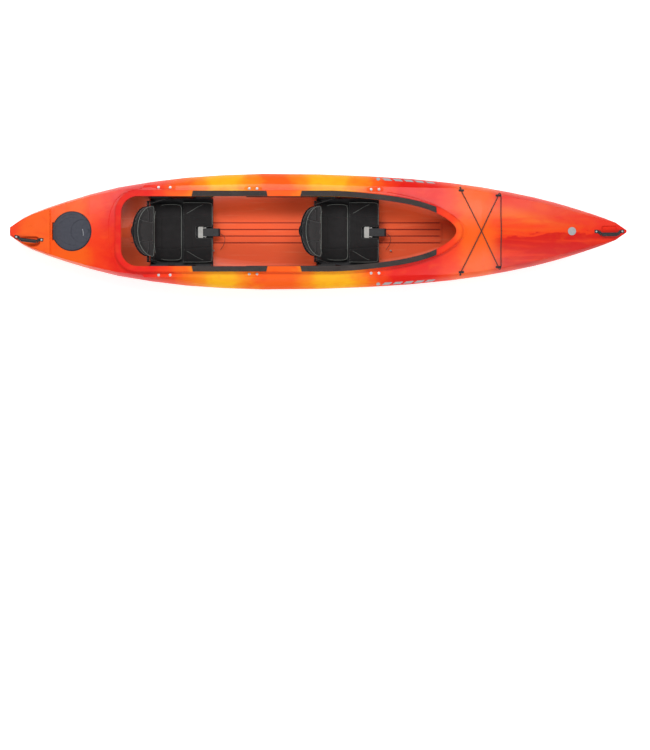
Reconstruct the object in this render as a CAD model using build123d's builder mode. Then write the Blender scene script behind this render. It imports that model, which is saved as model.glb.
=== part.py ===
"""Two-seat recreational kayak: moulded hull and deck, two reclining seats, foot braces, hatch, handles, rigging.

Millimetres. +X points to the bow, +Y to port and +Z up; the origin is under the middle of the boat, on the keel.
"""
import os
from math import cos, hypot, radians, sin

from build123d import *

# Hull form
LENGTH = 4110.0
BEAM = 776.0
WALL = 5.0
SEAM_LIFT = 2.0
HEADROOM = 420.0

# Lines of the hull. The first number of each pair is a place along the boat, from -1 at the stern to 1 at the bow.
# Half-breadths are shares of the half-beam and heights are in millimetres.
WIDEST_Y = [(-1, 0.077), (-0.951, 0.255), (-0.902, 0.369), (-0.804, 0.544), (-0.658, 0.755), (-0.56, 0.843),
            (-0.463, 0.912), (-0.365, 0.956), (-0.218, 0.992), (-0.121, 1), (0.075, 0.974), (0.271, 0.92),
            (0.466, 0.817), (0.661, 0.639), (0.759, 0.515), (0.857, 0.358), (0.954, 0.175), (0.987, 0.09), (1, 0.02)]
WIDEST_Z = [(-1, 215), (-0.88, 205), (-0.5, 203), (0.2, 203), (0.55, 197), (0.68, 198), (0.8, 211), (0.915, 243), (1, 270)]
CHINE_Y = [(-1, 0.057), (-0.954, 0.155), (-0.9, 0.284), (-0.713, 0.567), (-0.535, 0.735), (-0.402, 0.82), (-0.195, 0.856),
           (0.05, 0.856), (0.278, 0.8), (0.4, 0.722), (0.572, 0.567), (0.717, 0.387), (0.862, 0.232), (0.949, 0.103), (1, 0.01)]
CHINE_Z = [(-1, 185), (-0.9, 117), (-0.713, 90), (-0.402, 70), (0, 67), (0.278, 75), (0.4, 85), (0.572, 105), (0.717, 135),
           (0.862, 197), (0.949, 236), (1, 266)]
KEEL_Y = [(-1, 0.02), (-0.954, 0.02), (-0.73, 0.036), (-0.535, 0.18), (-0.39, 0.36), (-0.195, 0.515), (0, 0.541), (0.195, 0.49),
          (0.341, 0.335), (0.487, 0.13), (0.608, 0.04), (0.819, 0.02), (1, 0.008)]
KEEL_Z = [(-1, 165), (-0.994, 134), (-0.978, 51), (-0.962, 5), (-0.954, 0), (0.819, 0), (0.832, 8), (0.862, 24), (0.891, 57),
          (0.949, 153), (1, 262)]
FULLNESS = [(-1, 0), (-0.9, 0), (-0.5, 0.8), (-0.2, 1), (0.2, 1), (0.5, 0.75), (0.83, 0.1), (1, 0)]
EDGE_SHARE = [(-1, 0.92), (-0.7, 0.93), (-0.58, 0.9), (-0.44, 0.85), (-0.29, 0.82), (0.195, 0.81), (0.34, 0.84), (0.464, 0.89),
              (0.73, 0.85), (1, 0.8)]
EDGE_Z = [(-1, 262), (-0.9, 262), (-0.8, 267), (-0.706, 280), (-0.58, 274), (-0.44, 264), (-0.29, 257), (0.34, 257),
          (0.584, 262), (0.876, 268), (1, 272)]
CROWN_Z = [(-1, 275), (-0.97, 272), (-0.862, 270), (-0.738, 297), (-0.68, 300), (-0.58, 297), (-0.44, 290), (0, 280),
           (0.29, 290), (0.44, 305), (0.5, 313), (0.572, 308), (0.643, 295), (0.774, 285), (0.891, 277), (1, 273)]
STATIONS = [-1, -0.99, -0.978, -0.958, -0.93, -0.88, -0.82, -0.74, -0.65, -0.54, -0.43, -0.31, -0.18, 0, 0.16, 0.3, 0.43,
            0.53, 0.62, 0.7, 0.77, 0.82, 0.85, 0.89, 0.93, 0.965, 1]
INNER_AFT = -0.983
INNER_FORE = 0.95

# Cockpit opening and its rim
COCKPIT_REAR = -1312.0
COCKPIT_HALF = 233.0
COCKPIT_CORNER = 110.0
COCKPIT_STRAIGHT = 60.0
COCKPIT_NOSE = [(60, 233), (338, 216), (556, 187), (730, 143), (850, 84), (905, 35), (918, 0)]
RIM_Z = [(-1420, 309), (-1250, 306), (-900, 292), (-300, 289), (300, 292), (600, 301), (800, 315), (940, 333), (1060, 337)]
RIM_WIDTH = 41.0
RIM_LIP = 5.0
RIM_LIP_DROP = 5.0
RIM_LIP_DEPTH = 7.0
RIM_RETURN = 34.0

# Floor strips
STRIP_EDGES = [(-65, -24), (-20, 20), (24, 65)]
STRIP_TOP = 10.0
STRIP_AFT = -1270.0
STRIP_FORE = 830.0

# Rim pads
PAD_THICKNESS = 7.0
PAD_ENDS = {"rear": ((-855, -325), (-825, -356)), "front": ((-134, 791), (-98, 777))}
PAD_RIVETS = {"rear": (-797, -589, -388), "front": (-68, 137, 338, 536, 728)}
RIVET_RADIUS = 2.0
RIVET_HEAD_RADIUS = 5.0
RIVET_HEAD = 2.0

# Screws and their clearance
SCREW_RADIUS = 2.5
SCREW_HEAD_RADIUS = 6.0
SCREW_HEAD = 3.0
HOLE_GAP = 0.05
RUN_GAP = 0.3

# Deck screws that hang the seat rails: places along the boat, distance out, and the level bosses under them
HANGERS = {"rear": ((-1064, -987), 292, (-1170, -950)), "middle": ((-460, -408), 284, (-492, -376)),
           "front": ((353, 405), 279, (322, 436))}
BOSS_HALF = 15.0
BOSS_RISE = 2.5

# Seat rails
RAIL_IN = 229.0
RAIL_OUT = 247.0
RAIL_LOW = 214.0
RAIL_TOP = 241.7
FRONT_RAIL = (-480, 425)
REAR_RAIL = (-1130, -700)
LUG_LENGTH = 40.0
LUG_STEP = 236.0
LUG_GAP = 4.0

# Seats: both are the same, and every x below is counted from the seat's own reference
SEAT_PLACES = {"front": 0.0, "rear": -1115.0}
SEAT_REAR = -13.0
SEAT_FRONT = 408.0
SEAT_HALF = 226.0
SEAT_WALL = 5.0
PAN_TOP = 57.0
PAN_SKIRT = 30.0
SKID_OUT = 126.0
HOOKS = ((0, 115), (300, 398))
HOOK_TOP = 246.0
SIDE_DIP = 130.0
CUSHION_TOP = 98.0
CUSHION_REAR = 7.0
CUSHION_FRONT = 202.0
CUSHION_HALF = 196.0
PANEL_HALF = 205.0
NOTCH_REAR = 298.0
NOTCH_HALF = 42.0
PIVOT_X = 2.0
PIVOT_Z = 100.0
PIVOT_RADIUS = 5.0
ARM_IN = 199.0
ARM_OUT = 204.0
ARM_WIDTH = 24.0
EAR_IN = 206.0
EAR_OUT = 211.0
BACK_FOOT = (23.0, 250.0)
BACK_LEAN = 33.6
BACK_HEIGHT = 200.0
BACK_HALF = 172.0
BACK_SIDE = 34.0
BACK_PAD = 38.0
BACK_PLATE = 4.0
LOOP_HALF = 49.0
LOOP_REACH = 30.0
LOOP_BAND = 20.0
LOOP_THICK = 3.0
STRAP_WIDTH = 25.0
STRAP_THICK = 2.5
STRAP_BACK = (-30.0, 176.0, 282.0)
STRAP_SIDE = (96.0, 218.0, 224.0)
RATCHET_PIN_X = 356.0
RATCHET_PIN_Z = 80.0
RATCHET_PIN_RADIUS = 4.0
RATCHET_HALF = 26.0
RATCHET_REAR = 345.0
RATCHET_FRONT = 456.0
RATCHET_TOP = 88.0
PADDLE_REAR = 308.0
PADDLE_FRONT = 341.0
PADDLE_HALF = 37.0
CORD_RADIUS = 1.5
CORD_ROUTE = [(456.9, -10, 74), (476, -16, 73), (488, -38, 63), (486, -66, 47), (474, -92, 31), (456, -113, 18.5)]
BEAD_RADIUS = 7.0

# Foot braces: (x, z) of the two screws of each rail, on the hull's side
BRACES = {"rear": ((-421, 142), (-42, 142)), "middle": ((409, 149), (780, 155)), "front": ((1022, 160), (1384, 178))}
BRACE_HEIGHT = 28.0
BRACE_THICK = 12.0
BRACE_STAND = 6.0
BRACE_OVERHANG = 26.0
PEDAL_LENGTH = 62.0
PEDAL_REACH = 80.0
PEDAL_HALF = 44.0
PEDAL_PLATE = 6.0
PEDAL_GUIDE = 5.0

# Hatch, in its own tilted plane: radii from its centre and heights from the deck
HATCH_FROM_STERN = 414.0
HATCH_TILT = 6.07
POCKET_RADIUS = 133.0
POCKET_DEPTH = 16.0
MOUTH_RADIUS = 104.0
COVER_RADIUS = 125.5
COVER_LOW = -4.0
COVER_HIGH = 4.0
RIM_FLANGE = 6.0
NECK = 4.0
HINGE_X = -124.0
HINGE_H = -3.0
HINGE_BARREL = 5.0
HINGE_PIN = 2.5
HINGE_HALF = 52.0
KNUCKLE_HALF = 27.0
TAB_EDGE = -129.2
TAB_HALF = 55.0
LATCH_BOWL_RADIUS = 77.5
LATCH_BOWL_X = 70.5
LATCH_PIVOT_X = 112.0
LATCH_PIVOT_RADIUS = 1.8
LATCH_REAR = 66.0
LATCH_HALF = 48.0
LATCH_THICK = 3.0
LATCH_FOOT_HALF = 10.0

# Stern cap, its hand hollow, and the bow's hand hollow
CAP_FRONT = 268.0
CAP_AFT = 10.0
CAP_TOP_AFT = 317.0
CAP_TOP_FORE = 311.0
CAP_MARGIN = 16.0
STERN_HOLLOW = (55.0, 205.0, -104.0, -36.0, 284.0)
BOW_HOLLOW = (62.0, 168.0, 6.0, 36.0, 263.0)
BOSS_FROM_STERN = 135.0
BOSS_OUT = 50.0
BOSS_RADIUS = 20.0

# Carry handles: ends of the webbing from the boat's end, sideways, and how far the grip stands out
BOW_HANDLE = ((214.0, -2.0), (17.0, -1.0), 20.0, 24.0)
STERN_HANDLE = ((226.0, -60.0), (35.0, -38.0), 15.0, 26.0)
GRIP_RADIUS = 10.5
GRIP_LENGTH = 104.0
WEB_HALF = 11.0
WEB_THICK = 2.5
WEB_TAB = 24.0

# Deck rigging
EYES = [(954, 272), (1200, 238)]
EYE_LENGTH = 36.0
EYE_WIDTH = 14.0
EYE_BASE = 3.0
EYE_RING = 10.0
EYE_WIRE = 2.5
EYE_LIFT = 4.0
BUNGEE_RADIUS = 3.0
BUNGEE_ROUTE = [
    (947, 290, 268.5), (955, 265, 272), (979, 217, 281.5), (1005, 166, 294), (1031, 112, 305.5), (1058, 56, 313.2),
    (1085, 2, 315.4), (1112, -55, 311.6), (1138, -110, 302.4), (1164, -163, 289.8), (1184, -204, 277.8), (1195, -227, 275),
    (1200, -247, 271.5), (1208, -256, 269.5), (1216, -248, 270), (1218, -226, 274.5), (1217, -182, 282.2), (1216, -126, 294.6),
    (1217, -64, 304.6), (1219, 0, 308.2), (1217, 64, 304.6), (1216, 126, 294.6), (1217, 182, 282.2), (1218, 226, 274.5),
    (1216, 248, 270), (1208, 256, 269.5), (1200, 247, 271.5), (1195, 227, 275), (1184, 204, 277.8), (1164, 163, 289.8),
    (1138, 110, 303.5), (1112, 55, 315.5), (1085, -2, 322.6), (1058, -56, 318), (1031, -112, 306.2), (1005, -166, 294),
    (979, -217, 281.5), (955, -265, 272), (947, -290, 268.5),
]
KNOT_RADIUS = 7.0

# Badge disc on the foredeck, and the bulkhead
BADGE_FROM_BOW = 365.0
BADGE_RADIUS = 27.0
BADGE_RISE = 2.0
BULKHEAD_REAR = -1440.0
BULKHEAD_FRONT = -1385.0

HALF_LENGTH = LENGTH / 2
HALF_BEAM = BEAM / 2


def fair(place, points):
    """A smooth curve through hand-set points that never overshoots them."""
    if place <= points[0][0]:
        return points[0][1]
    if place >= points[-1][0]:
        return points[-1][1]
    slopes = [(b[1] - a[1]) / (b[0] - a[0]) for a, b in zip(points, points[1:])]
    bends = [2 * p * q / (p + q) if p * q > 0 else 0 for p, q in zip(slopes, slopes[1:])]
    tangents = [slopes[0], *bends, slopes[-1]]
    i = next(k for k in range(len(slopes)) if place <= points[k + 1][0])
    span = points[i + 1][0] - points[i][0]
    t = (place - points[i][0]) / span
    start = (2 * t**3 - 3 * t**2 + 1) * points[i][1] + (t**3 - 2 * t**2 + t) * span * tangents[i]
    end = (3 * t**2 - 2 * t**3) * points[i + 1][1] + (t**3 - t**2) * span * tangents[i + 1]
    return start + end


def bezier(points, t):
    """A point of a Bezier curve."""
    while len(points) > 1:
        points = [(a[0] + (b[0] - a[0]) * t, a[1] + (b[1] - a[1]) * t) for a, b in zip(points, points[1:])]
    return points[0]


def between(a, b, t):
    return a + (b - a) * t


def section_points(x):
    """Control points (half-breadth, height) of half a cross-section, from the keel up to the middle of the deck."""
    s = x / HALF_LENGTH
    wide, wide_z = fair(s, WIDEST_Y) * HALF_BEAM, fair(s, WIDEST_Z)
    chine, chine_z = fair(s, CHINE_Y) * HALF_BEAM, fair(s, CHINE_Z)
    keel, keel_z = min(fair(s, KEEL_Y) * HALF_BEAM, chine * 0.8), fair(s, KEEL_Z)
    edge, edge_z = wide * fair(s, EDGE_SHARE), fair(s, EDGE_Z)
    crown_z = fair(s, CROWN_Z)
    full = fair(s, FULLNESS)
    low = (between(keel, chine, between(0.1, 0.5, full)), between(keel_z, chine_z, between(0.5, 0.02, full)))
    high = (between(keel, chine, between(0.42, 0.9, full)), between(keel_z, chine_z, between(0.9, 0.55, full)))
    return [
        (keel, keel_z), low, high, (chine, chine_z),
        (between(chine, wide, 0.62), between(chine_z, wide_z, 0.45)), (wide, wide_z),
        (between(wide, edge, 0.3), between(wide_z, edge_z, 0.6)), (edge, edge_z),
        (edge * 0.62, between(edge_z, crown_z, 0.62)), (edge * 0.3, crown_z), (0, crown_z),
    ]


def inset(points, depth):
    """The same section moved inwards by a wall's thickness."""
    ring = [(-points[0][0], points[0][1]), *points, (-points[-2][0], points[-2][1])]
    moved = []
    for a, b, c in zip(ring, ring[1:], ring[2:]):
        before, after = hypot(b[0] - a[0], b[1] - a[1]), hypot(c[0] - b[0], c[1] - b[1])
        n = ((a[1] - b[1]) / before, (b[0] - a[0]) / before)
        m = ((b[1] - c[1]) / after, (c[0] - b[0]) / after)
        share = depth / max(1 + n[0] * m[0] + n[1] * m[1], 0.5)
        moved.append((max(b[0] + share * (n[0] + m[0]), 1), b[1] + share * (n[1] + m[1])))
    return [*moved[:-1], (0, moved[-1][1])]


def section_face(x, depth=0.0):
    """A closed cross-section of the boat, square to its length."""
    port = inset(section_points(x), depth) if depth else section_points(x)
    starboard = [(-y, z) for y, z in port]
    with BuildSketch(Plane(origin=(x, 0, 0), x_dir=(0, 1, 0), z_dir=(1, 0, 0))) as section:
        with BuildLine():
            Line(starboard[0], port[0])
            for half in (port, starboard):
                Bezier(*half[0:4])
                Bezier(*half[3:6])
                Bezier(*half[5:8])
                Bezier(*half[7:11])
        make_face()
    return section.sketch


def height_on(points, breadth):
    """Height of a section's curve at a distance from the middle."""
    low, high = 0.0, 1.0
    rising = points[-1][0] > points[0][0]
    for _ in range(40):
        middle = (low + high) / 2
        if (bezier(points, middle)[0] < breadth) == rising:
            low = middle
        else:
            high = middle
    return bezier(points, low)[1]


def deck_z(x, y):
    """Height of the deck's outer face."""
    points = section_points(x)
    return height_on(points[7:11] if abs(y) <= points[7][0] else points[5:8], abs(y))


def side_y(x, z):
    """Half-breadth of the hull's outer side at a height."""
    flipped = [(b, a) for a, b in section_points(x)[3:6]]
    return height_on(flipped, z)


def side_plane(x, z, side):
    """A plane on the hull's outer side, looking outwards."""
    step = 2.0
    along = Vector(2 * step, side * (side_y(x + step, z) - side_y(x - step, z)), 0)
    up = Vector(0, side * (side_y(x, z + step) - side_y(x, z - step)), 2 * step)
    out = up.cross(along) if side > 0 else along.cross(up)
    out = out if out.Y * side > 0 else out * -1
    return Plane(origin=(x, side * side_y(x, z), z), x_dir=along.normalized(), z_dir=out.normalized())


def deck_plane(x, y, rise=0.0):
    """A plane on the deck's outer face, looking out of it."""
    step = 3.0
    along = Vector(2 * step, 0, deck_z(x + step, y) - deck_z(x - step, y))
    across = Vector(0, 2 * step, deck_z(x, y + step) - deck_z(x, y - step))
    out = along.cross(across).normalized()
    return Plane(origin=Vector(x, y, deck_z(x, y)) + out * rise, x_dir=along.normalized(), z_dir=out)


def cockpit_face(grow, height=0.0):
    """The cockpit's outline, moved outwards."""
    nose = []
    for a, b, c in zip([(-1000, COCKPIT_HALF), *COCKPIT_NOSE], COCKPIT_NOSE, [*COCKPIT_NOSE[1:], (918, -35)]):
        run, drop = c[0] - a[0], c[1] - a[1]
        if b is COCKPIT_NOSE[0]:
            run, drop = 1, 0
        if b is COCKPIT_NOSE[-1]:
            run, drop = 0, -1
        size = hypot(run, drop)
        nose.append((b[0] - drop / size * grow, b[1] + run / size * grow))
    rear, half, corner = COCKPIT_REAR - grow, COCKPIT_HALF + grow, COCKPIT_CORNER + grow
    with BuildSketch(Plane.XY.offset(height)) as outline:
        with BuildLine() as line:
            Line((rear, 0), (rear, half - corner))
            RadiusArc((rear, half - corner), (rear + corner, half), corner)
            Line((rear + corner, half), (COCKPIT_STRAIGHT, half))
            Spline(*nose, tangents=[(1, 0), (0, -1)])
            mirror(line.line, about=Plane.XZ)
        make_face()
    return outline.sketch


def rim_slab(top_drop, bottom_drop=None):
    """The space between two heights that follow the rim, or under the upper one alone."""
    top = [(x, z - top_drop) for x, z in RIM_Z]
    low = [(x, z - bottom_drop) for x, z in RIM_Z] if bottom_drop is not None else [(x, 150) for x, z in RIM_Z]
    with BuildPart() as slab:
        with BuildSketch(Plane.XZ):
            with BuildLine():
                Spline(*top)
                Line(top[-1], low[-1])
                if bottom_drop is None:
                    Line(low[-1], low[0])
                else:
                    Spline(*reversed(low))
                Line(low[0], top[0])
            make_face()
        extrude(amount=BEAM / 2, both=True)
    return slab.part


def rim_plane(x, side):
    """A plane on top of the rim, in the middle of its width."""
    slope = (fair(x + 5, RIM_Z) - fair(x - 5, RIM_Z)) / 10
    turn = (cockpit_y(x + 5) - cockpit_y(x - 5)) / 10
    middle = cockpit_y(x) + RIM_WIDTH / 2 * hypot(1, turn) - 2
    return Plane(origin=(x, side * middle, fair(x, RIM_Z)), x_dir=Vector(1, 0, slope), z_dir=Vector(-slope, 0, 1))


def cockpit_y(x):
    return fair(x, COCKPIT_NOSE)


def box_between(low, high, mode=Mode.ADD):
    """A box from one corner to the other, in the part being built."""
    sizes = [b - a for a, b in zip(low, high)]
    with Locations(tuple((a + b) / 2 for a, b in zip(low, high))):
        Box(*sizes, mode=mode)


def finish(part, name):
    part.label = name
    export_step(part, os.path.join("parts", name + ".step"))


def two_sided(side):
    return "port" if side > 0 else "starboard"


os.makedirs("parts", exist_ok=True)

# ---------------------------------------------------------------- the body's outer and inner forms
with BuildPart() as outer_form:
    loft([section_face(s * HALF_LENGTH) for s in STATIONS], ruled=True)

with BuildPart() as inner_form:
    loft([section_face(s * HALF_LENGTH, WALL) for s in STATIONS if INNER_AFT < s < INNER_FORE], ruled=True)

outer = outer_form.part
inner = inner_form.part


def cap_form(margin, drop, front):
    """The raised cap at the stern, as a block that reaches down into the deck."""
    aft = -HALF_LENGTH + CAP_AFT + drop
    fore = -HALF_LENGTH + front
    places = [between(aft, fore, t) for t in (0, 0.08, 0.25, 0.5, 0.75, 1)]
    edge = [(x, max(fair(x / HALF_LENGTH, WIDEST_Y) * HALF_BEAM - margin, 12)) for x in places]
    with BuildPart() as cap:
        with BuildSketch(Plane.XY.offset(255)):
            with BuildLine() as line:
                Line((aft, 0), edge[0])
                Spline(*edge)
                Line(edge[-1], (fore, 0))
                mirror(line.line, about=Plane.XZ)
            make_face()
        extrude(amount=90)
        with BuildSketch(Plane.XZ):
            Polygon((aft - 9, 250), (fore + 9, 250), (fore + 9, CAP_TOP_FORE - drop), (aft - 9, CAP_TOP_AFT - drop),
                    align=None)
        extrude(amount=BEAM / 2, both=True, mode=Mode.INTERSECT)
    return cap.part


def hollow(place, end, grow):
    """A hand hollow under a carry handle, as the block that is cut away."""
    first, last, low, high, floor = place
    middle = end * (HALF_LENGTH - (first + last) / 2)
    length, width = last - first + 2 * grow, high - low + 2 * grow
    with BuildPart() as block:
        with BuildSketch(Plane.XY.offset(floor - grow)):
            with Locations((middle, (low + high) / 2)):
                RectangleRounded(length, width, min(length, width) / 2 - 1)
        extrude(amount=90)
    return block.part


hatch_x = -HALF_LENGTH + HATCH_FROM_STERN
hatch_way = Vector(cos(radians(HATCH_TILT)), 0, sin(radians(HATCH_TILT)))
hatch_up = Vector(-sin(radians(HATCH_TILT)), 0, cos(radians(HATCH_TILT)))
hatch_middle = Vector(hatch_x, 0, deck_z(hatch_x, 0))


def hatch_plane(height=0.0, x=0.0, y=0.0):
    """A plane parallel to the hatch, at a height over the deck."""
    return Plane(origin=hatch_middle + hatch_up * height + hatch_way * x + Vector(0, y, 0), x_dir=hatch_way, z_dir=hatch_up)


def across_plane(x, y, height):
    """A plane square to the hatch's hinge, looking to starboard."""
    return Plane(origin=hatch_plane(height, x, y).origin, x_dir=hatch_way, z_dir=(0, -1, 0))


def pocket(grow, depth):
    """The hatch's pocket in the deck, as the block that is cut away."""
    with BuildPart() as block:
        with BuildSketch(hatch_plane(-depth)):
            Circle(POCKET_RADIUS + grow)
            with Locations((TAB_EDGE + 6, 0)):
                Rectangle(20 + 2 * grow, 2 * TAB_HALF + 10 + 2 * grow)
        extrude(amount=depth + 60)
    return block.part


cap_outside = cap_form(CAP_MARGIN, 0, CAP_FRONT)
cap_inside = cap_form(CAP_MARGIN + WALL, WALL, CAP_FRONT - WALL)
hollows = [(STERN_HOLLOW, -1), (BOW_HOLLOW, 1)]
outside = outer + cap_outside - pocket(0, POCKET_DEPTH)
inside = inner + cap_inside - pocket(WALL, POCKET_DEPTH + WALL)
for place, end in hollows:
    outside = outside - hollow(place, end, 0)
    inside = inside - hollow(place, end, WALL)

with BuildPart() as over_seam:
    with BuildSketch(Plane.XZ):
        with BuildLine():
            seam = [(s * HALF_LENGTH * 1.01, fair(s, WIDEST_Z) + SEAM_LIFT) for s in STATIONS[::2]]
            Spline(*seam)
            Polyline(seam[-1], (seam[-1][0], HEADROOM), (seam[0][0], HEADROOM), seam[0])
        make_face()
    extrude(amount=BEAM, both=True)

shell = outside - inside

# ---------------------------------------------------------------- fasteners' places
hanger_places = [(x, side * out, span) for xs, out, span in HANGERS.values() for x in xs for side in (1, -1)]
boss_heights = {(span, side): deck_z(sum(xs) / 2, out) + BOSS_RISE for xs, out, span in HANGERS.values() for side in (1, -1)}
rivet_places = [rim_plane(x, side) for xs in PAD_RIVETS.values() for x in xs for side in (1, -1)]


def handle_ends(handle, end):
    """Both ends of a carry handle's webbing, on the deck or the cap."""
    ends = []
    for from_end, out in handle[:2]:
        x = end * (HALF_LENGTH - from_end)
        cap = end < 0
        share = (x + HALF_LENGTH - CAP_AFT) / (CAP_FRONT - CAP_AFT)
        z = between(CAP_TOP_AFT, CAP_TOP_FORE, share) if cap else deck_z(x, out)
        ends.append(Vector(x, out, z))
    return ends


def handle_frame(handle, end):
    """Where the webbing starts, its direction, its length, and its way up."""
    ends = sorted(handle_ends(handle, end), key=lambda v: v.X)
    way = (ends[1] - ends[0]).normalized()
    side = Vector(0, 0, 1).cross(way).normalized()
    return ends[0], way, (ends[1] - ends[0]).length, way.cross(side)


def handle_screw(handle, end, at):
    """The plane of one of the screws that hold the webbing."""
    start, way, length, up = handle_frame(handle, end)
    place = WEB_TAB / 2 if at == 0 else length - WEB_TAB / 2
    return Plane(origin=start + way * place + up * (WEB_THICK + HOLE_GAP), x_dir=way, z_dir=up)


handle_screws = [handle_screw(handle, end, at) for handle, end in ((BOW_HANDLE, 1), (STERN_HANDLE, -1)) for at in (0, 1)]
side_screws = {(name, side): [side_plane(x, z, side) for x, z in ends] for name, ends in BRACES.items() for side in (1, -1)}

# ---------------------------------------------------------------- hull
with BuildPart() as hull:
    add(shell - over_seam.part)
    for low, high in STRIP_EDGES:
        box_between((STRIP_AFT, low, WALL / 2), (STRIP_FORE, high, STRIP_TOP))
    for plane in [p for pair in side_screws.values() for p in pair] + handle_screws:
        with BuildSketch(plane.offset(SCREW_HEAD)):
            Circle(SCREW_RADIUS + HOLE_GAP)
        extrude(amount=-4 * WALL, mode=Mode.SUBTRACT)
finish(hull.part, "hull")

# ---------------------------------------------------------------- deck
WALL_OUTSIDE = RIM_WIDTH - RIM_LIP
WALL_INSIDE = WALL_OUTSIDE - WALL


def boss(span, out, side):
    """A level boss on the deck, under a pair of screws."""
    with BuildPart() as block:
        with BuildSketch(Plane.XY.offset(boss_heights[span, side])):
            with Locations(((span[0] + span[1]) / 2, side * out)):
                SlotOverall(span[1] - span[0], 2 * BOSS_HALF)
        extrude(amount=-40)
        add(inner, mode=Mode.SUBTRACT)
        extrude(cockpit_face(WALL_OUTSIDE + HOLE_GAP, 150), amount=300, mode=Mode.SUBTRACT)
    return block.part


bosses = [boss(span, out, side) for xs, out, span in HANGERS.values() for side in (1, -1)]

with BuildPart() as deck:
    add(shell & over_seam.part)
    extrude(cockpit_face(WALL_OUTSIDE, 150), amount=300, mode=Mode.SUBTRACT)
    for block in bosses:
        add(block)
    with BuildSketch(Plane.XY.offset(CAP_TOP_FORE)):
        with Locations((-HALF_LENGTH + BOSS_FROM_STERN, BOSS_OUT)):
            Circle(BOSS_RADIUS)
    extrude(amount=WALL)
    with BuildSketch(hatch_plane(-POCKET_DEPTH + 1)):
        Circle(MOUTH_RADIUS)
    extrude(amount=-4 * WALL, mode=Mode.SUBTRACT)
    for x, y, span in hanger_places:
        with BuildSketch(Plane.XY.offset(HEADROOM)):
            with Locations((x, y)):
                Circle(SCREW_RADIUS + HOLE_GAP)
        extrude(amount=-HEADROOM / 2, mode=Mode.SUBTRACT)
    for plane in handle_screws:
        with BuildSketch(plane):
            Circle(SCREW_RADIUS + HOLE_GAP)
        extrude(amount=-4 * WALL, mode=Mode.SUBTRACT)
finish(deck.part, "deck")

# ---------------------------------------------------------------- cockpit rim
with BuildPart() as rim_hollow:
    extrude(cockpit_face(WALL_INSIDE, 100), amount=300)
    extrude(cockpit_face(WALL, 100), amount=300, mode=Mode.SUBTRACT)
    add(rim_slab(WALL), mode=Mode.INTERSECT)

with BuildPart() as rim_under:
    extrude(cockpit_face(WALL + 1, 100), amount=300)
    add(rim_slab(RIM_RETURN), mode=Mode.INTERSECT)

with BuildPart() as rim_lip:
    extrude(cockpit_face(RIM_WIDTH, 150), amount=300)
    extrude(cockpit_face(WALL_OUTSIDE - 1, 150), amount=300, mode=Mode.SUBTRACT)
    add(rim_slab(RIM_LIP_DROP, RIM_LIP_DROP + RIM_LIP_DEPTH), mode=Mode.INTERSECT)
    add(outer, mode=Mode.SUBTRACT)

with BuildPart() as cockpit_rim:
    extrude(cockpit_face(WALL_OUTSIDE, 160), amount=300)
    extrude(cockpit_face(0, 160), amount=300, mode=Mode.SUBTRACT)
    add(rim_slab(0), mode=Mode.INTERSECT)
    add(rim_hollow.part, mode=Mode.SUBTRACT)
    add(rim_under.part, mode=Mode.SUBTRACT)
    add(inner, mode=Mode.SUBTRACT)
    add(rim_lip.part)
    for plane in rivet_places:
        with BuildSketch(plane.offset(SCREW_HEAD)):
            Circle(RIVET_RADIUS + HOLE_GAP)
        extrude(amount=-4 * WALL, mode=Mode.SUBTRACT)
finish(cockpit_rim.part, "cockpit_rim")

# ---------------------------------------------------------------- foam bulkhead behind the cockpit
with BuildPart() as stern_bulkhead:
    box_between((BULKHEAD_REAR, -BEAM, 0), (BULKHEAD_FRONT, BEAM, HEADROOM))
    add(inner, mode=Mode.INTERSECT)
finish(stern_bulkhead.part, "stern_bulkhead")

# ---------------------------------------------------------------- rim pads and their rivets
def rim_pad(row, side):
    """A padded strip on the rim, with slanted ends; its inner edge is the longer one."""
    (inner_aft, inner_fore), (outer_aft, outer_fore) = PAD_ENDS[row]
    near, far = side * (cockpit_y(inner_aft) - 60), side * (COCKPIT_HALF + 2 * RIM_WIDTH)
    low = side * (cockpit_y(inner_fore) - 60)
    with BuildPart() as pad:
        extrude(cockpit_face(WALL_OUTSIDE, 150), amount=300)
        extrude(cockpit_face(0, 150), amount=300, mode=Mode.SUBTRACT)
        add(rim_slab(-PAD_THICKNESS, 0), mode=Mode.INTERSECT)
        with BuildSketch(Plane.XY.offset(150)):
            Polygon((inner_aft, near), (outer_aft, far), (outer_fore, far), (inner_fore, low), align=None)
        extrude(amount=300, mode=Mode.INTERSECT)
        for plane in rivet_places:
            with BuildSketch(plane.offset(2 * PAD_THICKNESS)):
                Circle(RIVET_RADIUS + HOLE_GAP)
            extrude(amount=-4 * PAD_THICKNESS, mode=Mode.SUBTRACT)
    return pad.part


for row in PAD_ENDS:
    for side in (1, -1):
        finish(rim_pad(row, side), f"rim_pad_{row}_{two_sided(side)}")

with BuildPart() as pad_rivets:
    for plane in rivet_places:
        with BuildSketch(plane.offset(PAD_THICKNESS)):
            Circle(RIVET_HEAD_RADIUS)
        extrude(amount=RIVET_HEAD)
    add(rim_slab(-PAD_THICKNESS, WALL), mode=Mode.SUBTRACT)
    for plane in rivet_places:
        with BuildSketch(plane.offset(PAD_THICKNESS + RIVET_HEAD / 2)):
            Circle(RIVET_RADIUS)
        extrude(amount=-(PAD_THICKNESS + WALL + 2 + RIVET_HEAD / 2))
finish(pad_rivets.part, "pad_rivets")

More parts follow.
